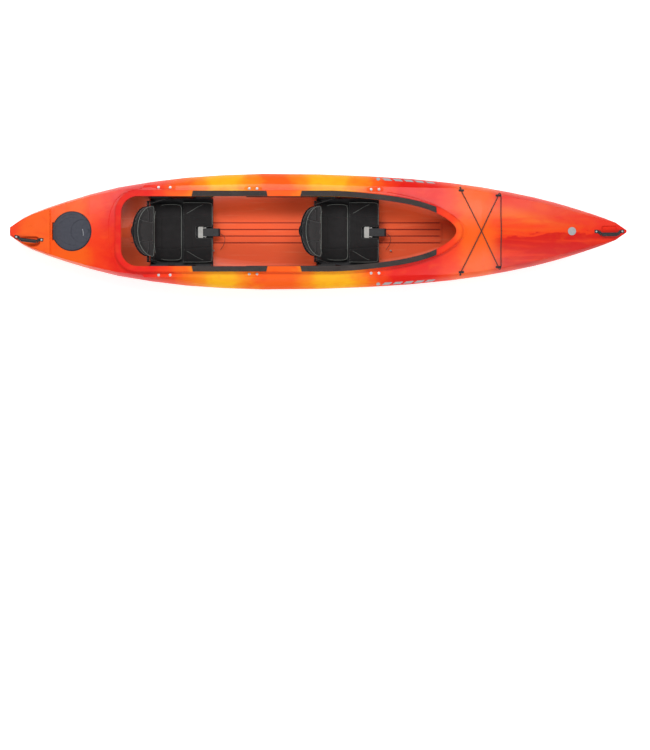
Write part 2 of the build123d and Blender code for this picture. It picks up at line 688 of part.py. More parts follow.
# ---------------------------------------------------------------- rails that hang the seats under the deck
def seat_rail(span, screws, side):
    """A rail along the cockpit's side, with a lug up to the deck at each screw."""
    with BuildPart() as rail:
        box_between((span[0], min(side * RAIL_IN, side * RAIL_OUT), RAIL_LOW),
                    (span[1], max(side * RAIL_IN, side * RAIL_OUT), RAIL_TOP))
        for x, out in screws:
            inside_y, outside_y = side * (out - BOSS_HALF + LUG_GAP), side * (out + BOSS_HALF - LUG_GAP)
            box_between((x - LUG_LENGTH / 2, min(side * RAIL_OUT, outside_y), RAIL_LOW),
                        (x + LUG_LENGTH / 2, max(side * RAIL_OUT, outside_y), LUG_STEP))
            box_between((x - LUG_LENGTH / 2, min(inside_y, outside_y), RAIL_LOW),
                        (x + LUG_LENGTH / 2, max(inside_y, outside_y), HEADROOM))
        add(inner, mode=Mode.INTERSECT)
        for x, out in screws:
            with BuildSketch(Plane.XY.offset(HEADROOM)):
                with Locations((x, side * out)):
                    Circle(SCREW_RADIUS + HOLE_GAP)
            extrude(amount=-(HEADROOM - RAIL_LOW - WALL), mode=Mode.SUBTRACT)
    return rail.part


def screws_of(*rows):
    return [(x, HANGERS[row][1]) for row in rows for x in HANGERS[row][0]]


for side in (1, -1):
    finish(seat_rail(FRONT_RAIL, screws_of("middle", "front"), side), f"front_seat_rail_{two_sided(side)}")
    finish(seat_rail(REAR_RAIL, screws_of("rear"), side), f"rear_seat_rail_{two_sided(side)}")

# ---------------------------------------------------------------- seats
LEAN = radians(BACK_LEAN)
BACK_UP = Vector(-sin(LEAN), 0, cos(LEAN))
BACK_OUT = Vector(-cos(LEAN), 0, -sin(LEAN))


def back_plane(x0, behind=0.0):
    """A plane parallel to the backrest's front, some way behind it; its x runs to port and its y up the backrest."""
    origin = Vector(x0 + BACK_FOOT[0], 0, BACK_FOOT[1]) + BACK_OUT * behind
    return Plane(origin=origin, x_dir=(0, 1, 0), z_dir=BACK_OUT * -1)


def back_outline(margin):
    """The backrest's face: a straight foot, short sides and an arched top."""
    half, side, top = BACK_HALF - margin, BACK_SIDE, BACK_HEIGHT - margin
    with BuildSketch() as face:
        with BuildLine():
            Line((-half, margin), (half, margin))
            Line((half, margin), (half, side))
            ThreePointArc((half, side), (0, top), (-half, side))
            Line((-half, side), (-half, margin))
        make_face()
    return face.sketch


def side_profile(x0, points, y_from, y_to):
    """A plate square to the boat's width, with its outline in x and z, inside the part being built."""
    with BuildSketch(Plane.XZ.offset(-y_from)) as profile:
        Polygon(*[(x0 + x, z) for x, z in points], align=None)
    extrude(profile.sketch, amount=-(y_to - y_from))


def seat_base(x0):
    """The moulded tub: a pan, its skirts and skids, and side walls that hook over the rails."""
    (rear_hook, rear_end), (front_hook, front_end) = HOOKS
    wall = [(SEAT_REAR, PAN_SKIRT), (SEAT_FRONT, PAN_SKIRT), (SEAT_FRONT, SIDE_DIP), (front_end, HOOK_TOP),
            (front_hook, HOOK_TOP), (front_hook - 40, SIDE_DIP), (rear_end + 40, SIDE_DIP), (rear_end, HOOK_TOP),
            (rear_hook, HOOK_TOP), (SEAT_REAR, SIDE_DIP)]
    inner_half = SEAT_HALF - SEAT_WALL
    with BuildPart() as base:
        box_between((x0 + SEAT_REAR, -SEAT_HALF, PAN_TOP - SEAT_WALL), (x0 + SEAT_FRONT, SEAT_HALF, PAN_TOP))
        box_between((x0 + SEAT_REAR, -SEAT_HALF, PAN_SKIRT), (x0 + SEAT_REAR + SEAT_WALL, SEAT_HALF, PAN_TOP))
        box_between((x0 + SEAT_FRONT - SEAT_WALL, -SEAT_HALF, PAN_SKIRT), (x0 + SEAT_FRONT, SEAT_HALF, PAN_TOP))
        box_between((x0 + SEAT_FRONT, -RATCHET_HALF, PAN_TOP - SEAT_WALL), (x0 + RATCHET_FRONT, RATCHET_HALF, PAN_TOP))
        for side in (1, -1):
            low, high = sorted((side * inner_half, side * SEAT_HALF))
            side_profile(x0, wall, low, high)
            low, high = sorted((side * inner_half, side * (RAIL_OUT + LUG_GAP - 1)))
            for first, last in HOOKS:
                box_between((x0 + first, low, RAIL_TOP + RUN_GAP), (x0 + last, high, HOOK_TOP))
            low, high = sorted((side * (SKID_OUT - SEAT_WALL), side * SKID_OUT))
            box_between((x0 + SEAT_REAR, low, STRIP_TOP + RUN_GAP), (x0 + SEAT_FRONT, high, PAN_TOP))
            low, high = sorted((side * EAR_IN, side * EAR_OUT))
            side_profile(x0, [(SEAT_REAR, PAN_TOP - SEAT_WALL), (PIVOT_X + 20, PAN_TOP - SEAT_WALL),
                              (PIVOT_X + 10, PIVOT_Z + 12), (SEAT_REAR, PIVOT_Z + 12)], low, high)
        with BuildSketch(Plane.XZ):
            with Locations((x0 + PIVOT_X, PIVOT_Z)):
                Circle(PIVOT_RADIUS + HOLE_GAP)
        extrude(amount=EAR_OUT + 2, both=True, mode=Mode.SUBTRACT)
        add(inner, mode=Mode.INTERSECT)
    return base.part


def seat_cushion(x0):
    with BuildPart() as cushion:
        box_between((x0 + CUSHION_REAR, -CUSHION_HALF, PAN_TOP + RUN_GAP), (x0 + CUSHION_FRONT, CUSHION_HALF, CUSHION_TOP))
        fillet(cushion.edges().filter_by(Axis.Z), 14)
        fillet(cushion.edges().group_by(Axis.Z)[-1], 8)
    return cushion.part


def leg_panel(x0):
    """The front half of the seat, which tilts up from the seam in front of the cushion."""
    rear = x0 + CUSHION_FRONT + 0.9
    with BuildPart() as panel:
        box_between((rear, -PANEL_HALF, PAN_TOP + RUN_GAP), (x0 + SEAT_FRONT, PANEL_HALF, CUSHION_TOP))
        box_between((x0 + NOTCH_REAR, -NOTCH_HALF, 0), (x0 + SEAT_FRONT + 1, NOTCH_HALF, HEADROOM), mode=Mode.SUBTRACT)
        fillet(panel.edges().filter_by(Axis.Z).group_by(Axis.X)[-1], 12)
    return panel.part


def ratchet_body(x0):
    with BuildPart() as body:
        box_between((x0 + RATCHET_REAR, -RATCHET_HALF, PAN_TOP), (x0 + RATCHET_FRONT, RATCHET_HALF, RATCHET_TOP))
        chamfer(body.edges().group_by(Axis.Z)[-1].sort_by(Axis.X)[-1], 12)
        with BuildSketch(Plane.XZ):
            with Locations((x0 + RATCHET_PIN_X, RATCHET_PIN_Z)):
                Circle(RATCHET_PIN_RADIUS + HOLE_GAP)
        extrude(amount=2 * RATCHET_HALF, both=True, mode=Mode.SUBTRACT)
    return body.part


def ratchet_pin(x0):
    with BuildPart() as pin:
        with BuildSketch(Plane.XZ):
            with Locations((x0 + RATCHET_PIN_X, RATCHET_PIN_Z)):
                Circle(RATCHET_PIN_RADIUS)
        extrude(amount=RATCHET_HALF + 8, both=True)
    return pin.part


def ratchet_lever(x0):
    """The paddle that is pulled up, on a cheek at each side of the body."""
    cheek_in, cheek_out = RATCHET_HALF + 1, RATCHET_HALF + 5
    with BuildPart() as lever:
        box_between((x0 + PADDLE_REAR, -PADDLE_HALF, 84), (x0 + PADDLE_FRONT, PADDLE_HALF, 90))
        fillet(lever.edges().filter_by(Axis.Z).group_by(Axis.X)[0], 8)
        for side in (1, -1):
            low, high = sorted((side * cheek_in, side * cheek_out))
            side_profile(x0, [(PADDLE_FRONT - 8, 84), (PADDLE_FRONT - 8, 90), (RATCHET_PIN_X, RATCHET_PIN_Z + 8),
                              (RATCHET_PIN_X + 8, RATCHET_PIN_Z), (RATCHET_PIN_X, RATCHET_PIN_Z - 8)], low, high)
        with BuildSketch(Plane.XZ):
            with Locations((x0 + RATCHET_PIN_X, RATCHET_PIN_Z)):
                Circle(RATCHET_PIN_RADIUS + HOLE_GAP)
        extrude(amount=2 * RATCHET_HALF, both=True, mode=Mode.SUBTRACT)
    return lever.part


def back_plate(x0):
    """The moulded plate behind the backrest, with an arm and a pivot at each side."""
    foot = back_plane(x0, BACK_PAD + RUN_GAP + BACK_PLATE)
    foot_x, foot_z = foot.origin.X - x0, foot.origin.Z
    arm = [(PIVOT_X - ARM_WIDTH / 2, PIVOT_Z), (PIVOT_X + ARM_WIDTH / 2, PIVOT_Z), (foot_x + ARM_WIDTH * 0.6, foot_z),
           (foot_x - 14, foot_z + 34), (foot_x - ARM_WIDTH * 0.7, foot_z + 20)]
    with BuildPart() as plate:
        with BuildSketch(foot):
            add(back_outline(6))
            for row in range(4):
                with Locations((-60, 52 + 24 * row), (60, 52 + 24 * row)):
                    SlotOverall(60, 8, mode=Mode.SUBTRACT)
        extrude(amount=BACK_PLATE)
        for side in (1, -1):
            low, high = sorted((side * ARM_IN, side * ARM_OUT))
            side_profile(x0, arm, low, high)
            with BuildSketch(Plane.XZ.offset(-low)):
                with Locations((x0 + PIVOT_X, PIVOT_Z)):
                    Circle(ARM_WIDTH / 2)
            extrude(amount=-(high - low))
            with BuildSketch(Plane.XZ.offset(-side * ARM_IN)):
                with Locations((x0 + PIVOT_X, PIVOT_Z)):
                    Circle(PIVOT_RADIUS)
            extrude(amount=-side * (EAR_OUT - ARM_IN))
            low, high = sorted((side * (BACK_HALF - 30), side * ARM_OUT))
            with BuildSketch(foot):
                with Locations(((low + high) / 2, 18)):
                    Rectangle(high - low, 20)
            extrude(amount=BACK_PLATE)
    return plate.part


def back_pad(x0):
    with BuildPart() as pad:
        with BuildSketch(back_plane(x0)):
            add(back_outline(0))
        extrude(amount=-BACK_PAD)
        fillet(pad.edges().filter_by(GeomType.CIRCLE), 10)
    return pad.part


def back_handle(x0):
    """A webbing loop at the top of the backrest, to carry or pull it by."""
    start = back_plane(x0, BACK_PAD + RUN_GAP + BACK_PLATE).origin + BACK_UP * (BACK_HEIGHT - 52)
    with BuildPart() as loop:
        with BuildSketch(Plane(origin=start, x_dir=(0, 1, 0), z_dir=BACK_UP)):
            with BuildLine():
                ThreePointArc((-LOOP_HALF, 0), (0, LOOP_REACH), (LOOP_HALF, 0))
                Line((LOOP_HALF, 0), (LOOP_HALF - LOOP_THICK * 2, 0))
                ThreePointArc((LOOP_HALF - LOOP_THICK * 2, 0), (0, LOOP_REACH - LOOP_THICK), (-LOOP_HALF + LOOP_THICK * 2, 0))
                Line((-LOOP_HALF + LOOP_THICK * 2, 0), (-LOOP_HALF, 0))
            make_face()
        extrude(amount=LOOP_BAND)
    return loop.part


def back_straps(x0):
    """Webbing from each side of the backrest to the seat's side wall."""
    with BuildPart() as straps:
        for side in (1, -1):
            start = Vector(x0 + STRAP_BACK[0], side * STRAP_BACK[1], STRAP_BACK[2])
            end = Vector(x0 + STRAP_SIDE[0], side * STRAP_SIDE[1], STRAP_SIDE[2])
            way = end - start
            flat = way.cross(Vector(0, 0, 1)).normalized()
            with BuildSketch(Plane(origin=start, x_dir=flat, z_dir=way.normalized())):
                Rectangle(STRAP_THICK, STRAP_WIDTH)
            extrude(amount=way.length)
    return straps.part


def cord_radii(points, share=0.45):
    """The largest arcs that a cord's straight runs leave room for."""
    radii = []
    for a, b, c in zip(points, points[1:], points[2:]):
        before, after = Vector(*b) - Vector(*a), Vector(*c) - Vector(*b)
        turn = radians(before.get_angle(after))
        radii.append(share * min(before.length, after.length) * cos(turn / 2) / sin(turn / 2))
    print("cord radii", [round(r, 1) for r in radii])
    return radii


def pull_cord(x0):
    """The limp cord that hangs from the ratchet, with a bead on its end."""
    points = [(x0 + x, y, z) for x, y, z in CORD_ROUTE]
    with BuildPart() as cord:
        with BuildLine() as route:
            FilletPolyline(*points, radius=cord_radii(points))
        with BuildSketch(Plane(origin=points[0], z_dir=Vector(*points[1]) - Vector(*points[0]))):
            Circle(CORD_RADIUS)
        sweep(path=route.line)
        with Locations(points[-1]):
            Sphere(BEAD_RADIUS)
    return cord.part


SEAT_PIECES = {
    "base": seat_base, "cushion": seat_cushion, "leg_panel": leg_panel, "ratchet_body": ratchet_body,
    "ratchet_pin": ratchet_pin, "ratchet_lever": ratchet_lever, "back_plate": back_plate, "back_pad": back_pad,
    "back_handle": back_handle, "back_straps": back_straps, "pull_cord": pull_cord,
}

for seat, x0 in SEAT_PLACES.items():
    for piece, build in SEAT_PIECES.items():
        finish(build(x0), f"{seat}_seat_{piece}")

# ---------------------------------------------------------------- foot braces: a rail and a sliding pedal each
def brace_plane(name, side):
    """A plane along a foot brace's rail, on the hull's inner side, looking into the boat."""
    first, second = (plane.origin - plane.z_dir * WALL for plane in side_screws[name, side])
    way = (second - first).normalized()
    inwards = side_screws[name, side][0].z_dir * -1
    inwards = (inwards - way * inwards.dot(way)).normalized()
    return Plane(origin=(first + second) * 0.5, x_dir=way, z_dir=inwards), (second - first).length


def foot_rail(name, side):
    plane, span = brace_plane(name, side)
    with BuildPart() as rail:
        with BuildSketch(plane.offset(BRACE_STAND)):
            RectangleRounded(span + 2 * BRACE_OVERHANG, BRACE_HEIGHT, BRACE_HEIGHT / 4)
        extrude(amount=BRACE_THICK)
        with BuildSketch(plane.offset(-2 * WALL)):
            with Locations((-span / 2, 0), (span / 2, 0)):
                Rectangle(BRACE_HEIGHT, BRACE_HEIGHT)
        extrude(amount=BRACE_STAND + 2 * WALL + BRACE_THICK / 2)
        add(inner, mode=Mode.INTERSECT)
        for screw in side_screws[name, side]:
            with BuildSketch(screw):
                Circle(SCREW_RADIUS + HOLE_GAP)
            extrude(amount=-(WALL + BRACE_STAND + BRACE_THICK - 3), mode=Mode.SUBTRACT)
    return rail.part


def foot_pedal(name, side):
    """A slider on three sides of the rail, with a ribbed plate for the foot."""
    plane, span = brace_plane(name, side)
    face = BRACE_STAND + BRACE_THICK + RUN_GAP
    half = BRACE_HEIGHT / 2 + RUN_GAP
    with BuildPart() as pedal:
        with BuildSketch(plane.offset(BRACE_STAND + 1)):
            Rectangle(PEDAL_LENGTH, 2 * (half + PEDAL_GUIDE))
            Rectangle(PEDAL_LENGTH, 2 * half, mode=Mode.SUBTRACT)
        extrude(amount=BRACE_THICK + PEDAL_GUIDE)
        with BuildSketch(plane.offset(face)):
            Rectangle(PEDAL_LENGTH, 2 * (half + PEDAL_GUIDE))
        extrude(amount=PEDAL_GUIDE)
        with BuildSketch(plane.offset(face)):
            Rectangle(PEDAL_PLATE, 2 * PEDAL_HALF)
            for across in (-0.5, 0.5):
                with Locations((PEDAL_PLATE, across * PEDAL_HALF)):
                    Rectangle(PEDAL_PLATE, PEDAL_PLATE)
        extrude(amount=PEDAL_REACH)
    return pedal.part


for name in BRACES:
    for side in (1, -1):
        finish(foot_rail(name, side), f"foot_rail_{name}_{two_sided(side)}")
        finish(foot_pedal(name, side), f"foot_pedal_{name}_{two_sided(side)}")

# ---------------------------------------------------------------- screws of the rails, braces and handles
screw_planes = []
for row, (xs, out, span) in HANGERS.items():
    for x in xs:
        for side in (1, -1):
            screw_planes.append((Plane(origin=(x, side * out, boss_heights[span, side])), 30.0))
for pair in side_screws.values():
    for plane in pair:
        screw_planes.append((plane, WALL + BRACE_STAND + BRACE_THICK - 5))
for plane in handle_screws:
    screw_planes.append((plane, 3 * WALL))

with BuildPart() as screws:
    for plane, length in screw_planes:
        with BuildSketch(plane):
            Circle(SCREW_HEAD_RADIUS)
        extrude(amount=SCREW_HEAD)
    add(outer, mode=Mode.SUBTRACT)
    for plane, length in screw_planes:
        with BuildSketch(plane.offset(SCREW_HEAD / 2)):
            Circle(SCREW_RADIUS)
        extrude(amount=-length - SCREW_HEAD / 2)
finish(screws.part, "screws")

# ---------------------------------------------------------------- hatch: rim, gasket, cover, pin and finger latch
with BuildPart() as hatch_rim:
    with BuildSketch(hatch_plane(-POCKET_DEPTH)):
        Circle(POCKET_RADIUS - 1)
        Circle(MOUTH_RADIUS - NECK, mode=Mode.SUBTRACT)
    extrude(amount=RIM_FLANGE)
    with BuildSketch(hatch_plane(-POCKET_DEPTH)):
        Circle(MOUTH_RADIUS)
        Circle(MOUTH_RADIUS - NECK, mode=Mode.SUBTRACT)
    extrude(amount=POCKET_DEPTH + COVER_LOW - 1)
    for y in (HINGE_HALF, -KNUCKLE_HALF - 1):
        with BuildSketch(across_plane(HINGE_X, y, HINGE_H)):
            Circle(HINGE_BARREL)
            with Locations((0, -5)):
                Rectangle(2 * HINGE_BARREL - 1, 10)
        extrude(amount=HINGE_HALF - KNUCKLE_HALF - 1)
    with BuildSketch(across_plane(HINGE_X, 0, HINGE_H)):
        Circle(HINGE_PIN + HOLE_GAP)
    extrude(amount=HINGE_HALF + 2, both=True, mode=Mode.SUBTRACT)
finish(hatch_rim.part, "hatch_rim")

with BuildPart() as hatch_gasket:
    with BuildSketch(hatch_plane(-POCKET_DEPTH + RIM_FLANGE)):
        Circle(MOUTH_RADIUS + 4.5)
        Circle(MOUTH_RADIUS + 0.1, mode=Mode.SUBTRACT)
    extrude(amount=POCKET_DEPTH - RIM_FLANGE + COVER_LOW - RUN_GAP)
finish(hatch_gasket.part, "hatch_gasket")

with BuildPart() as hatch_pin:
    with BuildSketch(across_plane(HINGE_X, HINGE_HALF, HINGE_H)):
        Circle(HINGE_PIN)
    extrude(amount=2 * HINGE_HALF)
finish(hatch_pin.part, "hatch_hinge_pin")

with BuildPart() as hatch_cover:
    with BuildSketch(hatch_plane(COVER_LOW)):
        Circle(COVER_RADIUS)
        with Locations((TAB_EDGE + 20, 0)):
            Rectangle(40, 2 * TAB_HALF)
    extrude(amount=COVER_HIGH - COVER_LOW)
    with BuildSketch(hatch_plane(COVER_HIGH - 4.5)):
        with Locations((LATCH_BOWL_X, 0)):
            Circle(LATCH_BOWL_RADIUS)
    extrude(amount=10, mode=Mode.SUBTRACT)
    with BuildSketch(hatch_plane(COVER_LOW)):
        Circle(COVER_RADIUS)
        with Locations((LATCH_PIVOT_X - 9 - 150, 0)):
            Rectangle(300, 300, mode=Mode.SUBTRACT)
    extrude(amount=COVER_HIGH - COVER_LOW)
    with BuildSketch(across_plane(HINGE_X, HINGE_HALF + 4, HINGE_H)):
        Circle(HINGE_BARREL + 0.5)
        with Locations((-1, -6)):
            Rectangle(2 * HINGE_BARREL + 12, 13)
        with Locations((-6, 0)):
            Rectangle(12, 16)
    extrude(amount=2 * HINGE_HALF + 8, mode=Mode.SUBTRACT)
    with BuildSketch(across_plane(HINGE_X, KNUCKLE_HALF, HINGE_H)):
        Circle(HINGE_BARREL)
        with Locations((HINGE_BARREL, 2.5)):
            Rectangle(2 * HINGE_BARREL + 4, 5)
    extrude(amount=2 * KNUCKLE_HALF)
    with BuildSketch(across_plane(HINGE_X, 0, HINGE_H)):
        Circle(HINGE_PIN + HOLE_GAP)
    extrude(amount=HINGE_HALF + 2, both=True, mode=Mode.SUBTRACT)
    with BuildSketch(hatch_plane(COVER_LOW - 1)):
        with Locations((LATCH_PIVOT_X - 1, 0)):
            Rectangle(16, 2 * LATCH_FOOT_HALF + 3)
    extrude(amount=20, mode=Mode.SUBTRACT)
    with BuildSketch(across_plane(LATCH_PIVOT_X, 0, 0)):
        Circle(LATCH_PIVOT_RADIUS + HOLE_GAP)
    extrude(amount=LATCH_FOOT_HALF + 5, both=True, mode=Mode.SUBTRACT)
finish(hatch_cover.part, "hatch_cover")

with BuildPart() as hatch_latch:
    with BuildSketch(hatch_plane(RUN_GAP)):
        with Locations((LATCH_PIVOT_X - 6.5, 0)):
            Circle(LATCH_HALF)
        with Locations((LATCH_REAR - 100, 0)):
            Rectangle(200, 4 * LATCH_HALF, mode=Mode.SUBTRACT)
        with Locations((LATCH_PIVOT_X - 10.1 + 100, 0)):
            Rectangle(200, 4 * LATCH_HALF, mode=Mode.SUBTRACT)
    extrude(amount=LATCH_THICK)
    with BuildSketch(across_plane(LATCH_PIVOT_X, LATCH_FOOT_HALF, 0)):
        Circle(3)
        with Locations((-5.5, 1.8)):
            Rectangle(13, LATCH_THICK)
        with Locations((0, -2)):
            Rectangle(4, 4)
    extrude(amount=2 * LATCH_FOOT_HALF)
    with BuildSketch(across_plane(LATCH_PIVOT_X, 0, 0)):
        Circle(LATCH_PIVOT_RADIUS)
    extrude(amount=LATCH_FOOT_HALF + 4.5, both=True)
finish(hatch_latch.part, "hatch_latch")


# ---------------------------------------------------------------- carry handles
def handle_places(handle, end):
    """The webbing's route from tab to tab, leaning to starboard, as points along its own direction."""
    start, way, length, up = handle_frame(handle, end)
    lean, rise = handle[2], handle[3]
    out = way.cross(up) if way.cross(up).Y < 0 else way.cross(up) * -1
    top = (out * lean + up * rise)
    return start, way, length, up, top


def handle_strap(handle, end):
    """Flat webbing: a tab under a screw at each end, and a leaning arch between them."""
    start, way, length, up, top = handle_places(handle, end)
    middle = start + way * (length / 2) + top
    lift = up * (WEB_THICK / 2 + HOLE_GAP)
    grip_end = GRIP_LENGTH / 2 + 2
    with BuildPart() as strap:
        for sign in (-1, 1):
            tab = start + way * (length / 2 + sign * (length / 2 - WEB_TAB / 2)) + lift
            with BuildSketch(Plane(origin=tab - up * (WEB_THICK / 2), x_dir=way, z_dir=up)):
                Rectangle(WEB_TAB, 2 * WEB_HALF)
                Circle(SCREW_RADIUS + HOLE_GAP, mode=Mode.SUBTRACT)
            extrude(amount=WEB_THICK)
            low = start + way * (length / 2 + sign * (length / 2 - WEB_TAB)) + lift
            high = middle + way * (sign * grip_end)
            rise = high - low
            face = rise.cross(up.cross(way)).normalized()
            with BuildSketch(Plane(origin=low, x_dir=face, z_dir=rise.normalized())):
                Rectangle(WEB_THICK, 2 * WEB_HALF)
            extrude(amount=rise.length)
        reach = GRIP_LENGTH / 2 + RUN_GAP
        with BuildSketch(Plane(origin=middle - way * reach, x_dir=up, z_dir=way)):
            Circle(2 * GRIP_RADIUS)
        extrude(amount=2 * reach, mode=Mode.SUBTRACT)
        add(outside, mode=Mode.SUBTRACT)
    return strap.part


def handle_grip(handle, end):
    """A moulded grip round the webbing, which swings about the line through the tabs."""
    start, way, length, up, top = handle_places(handle, end)
    middle = start + way * (length / 2) + top
    with BuildPart() as grip:
        with BuildSketch(Plane(origin=middle - way * (GRIP_LENGTH / 2), x_dir=up, z_dir=way)):
            Ellipse(GRIP_RADIUS, GRIP_RADIUS + 2)
        extrude(amount=GRIP_LENGTH)
        fillet(grip.edges(), 3)
    return grip.part


for name, handle, end in (("bow", BOW_HANDLE, 1), ("stern", STERN_HANDLE, -1)):
    finish(handle_strap(handle, end), f"{name}_handle_webbing")
    finish(handle_grip(handle, end), f"{name}_handle_grip")
    start, way, length, up = handle_frame(handle, end)
    print(name, "handle hinge", [round(v, 1) for v in start], [round(v, 4) for v in way], round(length, 1))

# ---------------------------------------------------------------- deck eyes, elastic cord and badge
eye_places = [(x, side * y) for x, y in EYES for side in (1, -1)]
with BuildPart() as deck_eyes:
    for x, y in eye_places:
        plane = deck_plane(x, y)
        with BuildSketch(plane.offset(-WALL / 2)):
            RectangleRounded(EYE_LENGTH, EYE_WIDTH, EYE_WIDTH / 2 - 1)
        extrude(amount=EYE_BASE + WALL / 2)
        arch = Plane(origin=plane.origin + plane.z_dir * EYE_LIFT, x_dir=plane.x_dir, z_dir=plane.y_dir)
        with BuildSketch(arch.offset(-EYE_WIRE)):
            Circle(EYE_RING + EYE_WIRE)
            Circle(EYE_RING - EYE_WIRE + 1, mode=Mode.SUBTRACT)
            with Locations((0, -2 * EYE_RING)):
                Rectangle(6 * EYE_RING, 4 * EYE_RING, mode=Mode.SUBTRACT)
            with Locations((0, -EYE_RING / 2)):
                Rectangle(2 * (EYE_RING + EYE_WIRE), EYE_RING)
                Rectangle(2 * (EYE_RING - EYE_WIRE + 1), EYE_RING, mode=Mode.SUBTRACT)
        extrude(amount=2 * EYE_WIRE)
    add(outer, mode=Mode.SUBTRACT)
finish(deck_eyes.part, "deck_eyes")

with BuildPart() as bow_badge:
    plane = deck_plane(HALF_LENGTH - BADGE_FROM_BOW, 0)
    with BuildSketch(plane.offset(-WALL / 2)):
        Circle(BADGE_RADIUS)
    extrude(amount=WALL / 2 + BADGE_RISE)
    add(outer, mode=Mode.SUBTRACT)
finish(bow_badge.part, "bow_badge")

with BuildPart() as bungee:
    with BuildLine() as route:
        FilletPolyline(*BUNGEE_ROUTE, radius=cord_radii(BUNGEE_ROUTE))
    with BuildSketch(Plane(origin=BUNGEE_ROUTE[0], z_dir=Vector(*BUNGEE_ROUTE[1]) - Vector(*BUNGEE_ROUTE[0]))):
        Circle(BUNGEE_RADIUS)
    sweep(path=route.line)
    with Locations(BUNGEE_ROUTE[0], BUNGEE_ROUTE[-1]):
        Sphere(KNOT_RADIUS)
print("elastic cord", round(sum(edge.length for edge in route.line.edges()), 1), "mm long")
finish(bungee.part, "bungee")
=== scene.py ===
"""The two-seat kayak's looks: moulded plastic, upholstered seats, webbing, stripes and small fittings."""
from math import cos, pi, radians, sin

import bpy
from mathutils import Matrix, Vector


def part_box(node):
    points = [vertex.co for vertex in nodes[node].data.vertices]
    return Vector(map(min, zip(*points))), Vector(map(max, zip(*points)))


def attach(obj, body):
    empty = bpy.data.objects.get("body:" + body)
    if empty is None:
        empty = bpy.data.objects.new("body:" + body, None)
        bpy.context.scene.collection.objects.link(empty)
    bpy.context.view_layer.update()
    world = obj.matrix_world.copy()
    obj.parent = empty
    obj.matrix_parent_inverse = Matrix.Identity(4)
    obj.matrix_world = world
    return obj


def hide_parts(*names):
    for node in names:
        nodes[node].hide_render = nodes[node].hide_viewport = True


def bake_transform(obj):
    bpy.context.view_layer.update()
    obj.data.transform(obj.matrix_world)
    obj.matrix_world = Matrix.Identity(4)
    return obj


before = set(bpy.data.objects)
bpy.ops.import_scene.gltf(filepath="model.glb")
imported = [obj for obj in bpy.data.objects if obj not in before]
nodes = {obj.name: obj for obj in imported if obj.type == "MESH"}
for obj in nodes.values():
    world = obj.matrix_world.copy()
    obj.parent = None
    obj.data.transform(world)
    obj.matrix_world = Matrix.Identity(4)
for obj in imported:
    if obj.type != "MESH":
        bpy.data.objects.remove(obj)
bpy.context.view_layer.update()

SEATS = {"front": 0.0, "rear": -1.115}
SEAT_BODY = {"front": "front_seat", "rear": "boat"}
LEAN = radians(33.6)


# ---------------------------------------------------------------- modelling helpers
def clear():
    """Nothing is selected."""
    if bpy.context.object and bpy.context.object.mode != "OBJECT":
        bpy.ops.object.mode_set(mode="OBJECT")
    bpy.ops.object.select_all(action="DESELECT")


def pick(piece):
    """Only this piece is selected and active."""
    clear()
    piece.select_set(True)
    bpy.context.view_layer.objects.active = piece
    return piece


def newest(name):
    """The piece that was just added, with its name."""
    piece = bpy.context.object
    piece.name = name
    piece.data.name = name
    return piece


def settle(piece):
    """The piece's place goes into its mesh."""
    pick(piece)
    bpy.ops.object.transform_apply(location=True, rotation=True, scale=True)
    return piece


def modify(piece, kind, **settings):
    """One modifier, set and applied."""
    pick(piece)
    modifier = piece.modifiers.new(kind.lower(), kind)
    for key, value in settings.items():
        setattr(modifier, key, value)
    bpy.ops.object.modifier_apply(modifier=modifier.name)
    return piece


def smooth(piece, angle=40):
    """Smooth shading, except over edges sharper than the angle in degrees."""
    pick(piece)
    bpy.ops.object.shade_smooth_by_angle(angle=radians(angle))
    return piece


def merged_copy(node, name):
    """A free copy of a CAD node, with its loose triangles joined."""
    piece = nodes[node].copy()
    piece.data = nodes[node].data.copy()
    for key in list(piece.keys()):
        del piece[key]
    piece.parent = None
    piece.name = name
    piece.data.name = name
    bpy.context.scene.collection.objects.link(piece)
    piece.data.materials.clear()
    pick(piece)
    bpy.ops.object.mode_set(mode="EDIT")
    bpy.ops.mesh.select_all(action="SELECT")
    bpy.ops.mesh.remove_doubles(threshold=0.00002)
    bpy.ops.object.mode_set(mode="OBJECT")
    return piece


def moved_copy(piece, name, shift):
    """The same piece again, somewhere else, with its own mesh."""
    pick(piece)
    bpy.ops.object.duplicate()
    copy = newest(name)
    bpy.ops.object.mode_set(mode="EDIT")
    bpy.ops.mesh.select_all(action="SELECT")
    bpy.ops.transform.translate(value=shift)
    bpy.ops.object.mode_set(mode="OBJECT")
    return copy


def round_line(name, points, radius, steps, sides, closed=False):
    """A round curve along a smooth line through its points."""
    clear()
    bpy.ops.curve.primitive_nurbs_path_add()
    curve = newest(name)
    curve.location = (0, 0, 0)
    curve.data.splines.clear()
    spline = curve.data.splines.new("NURBS")
    spline.points.add(len(points) - 1)
    for point, place in zip(spline.points, points):
        point.co = (*place, 1)
    spline.order_u = 3
    spline.use_cyclic_u = closed
    spline.use_endpoint_u = not closed
    curve.data.dimensions = "3D"
    curve.data.resolution_u = steps
    curve.data.bevel_depth = radius
    curve.data.bevel_resolution = sides
    return curve


def tube(name, points, radius, closed=False):
    """A round tube along a smooth line, as a mesh."""
    curve = round_line(name, points, radius, 4, 2, closed)
    curve.data.use_fill_caps = not closed
    pick(curve)
    bpy.ops.object.convert(target="MESH")
    return smooth(settle(newest(name)))


def on_top(node, x, y):
    """The height of a CAD node's top at a place."""
    hit, place, normal, face = nodes[node].ray_cast(Vector((x, y, 0.6)), Vector((0, 0, -1)))
    return place.z if hit else 0.0


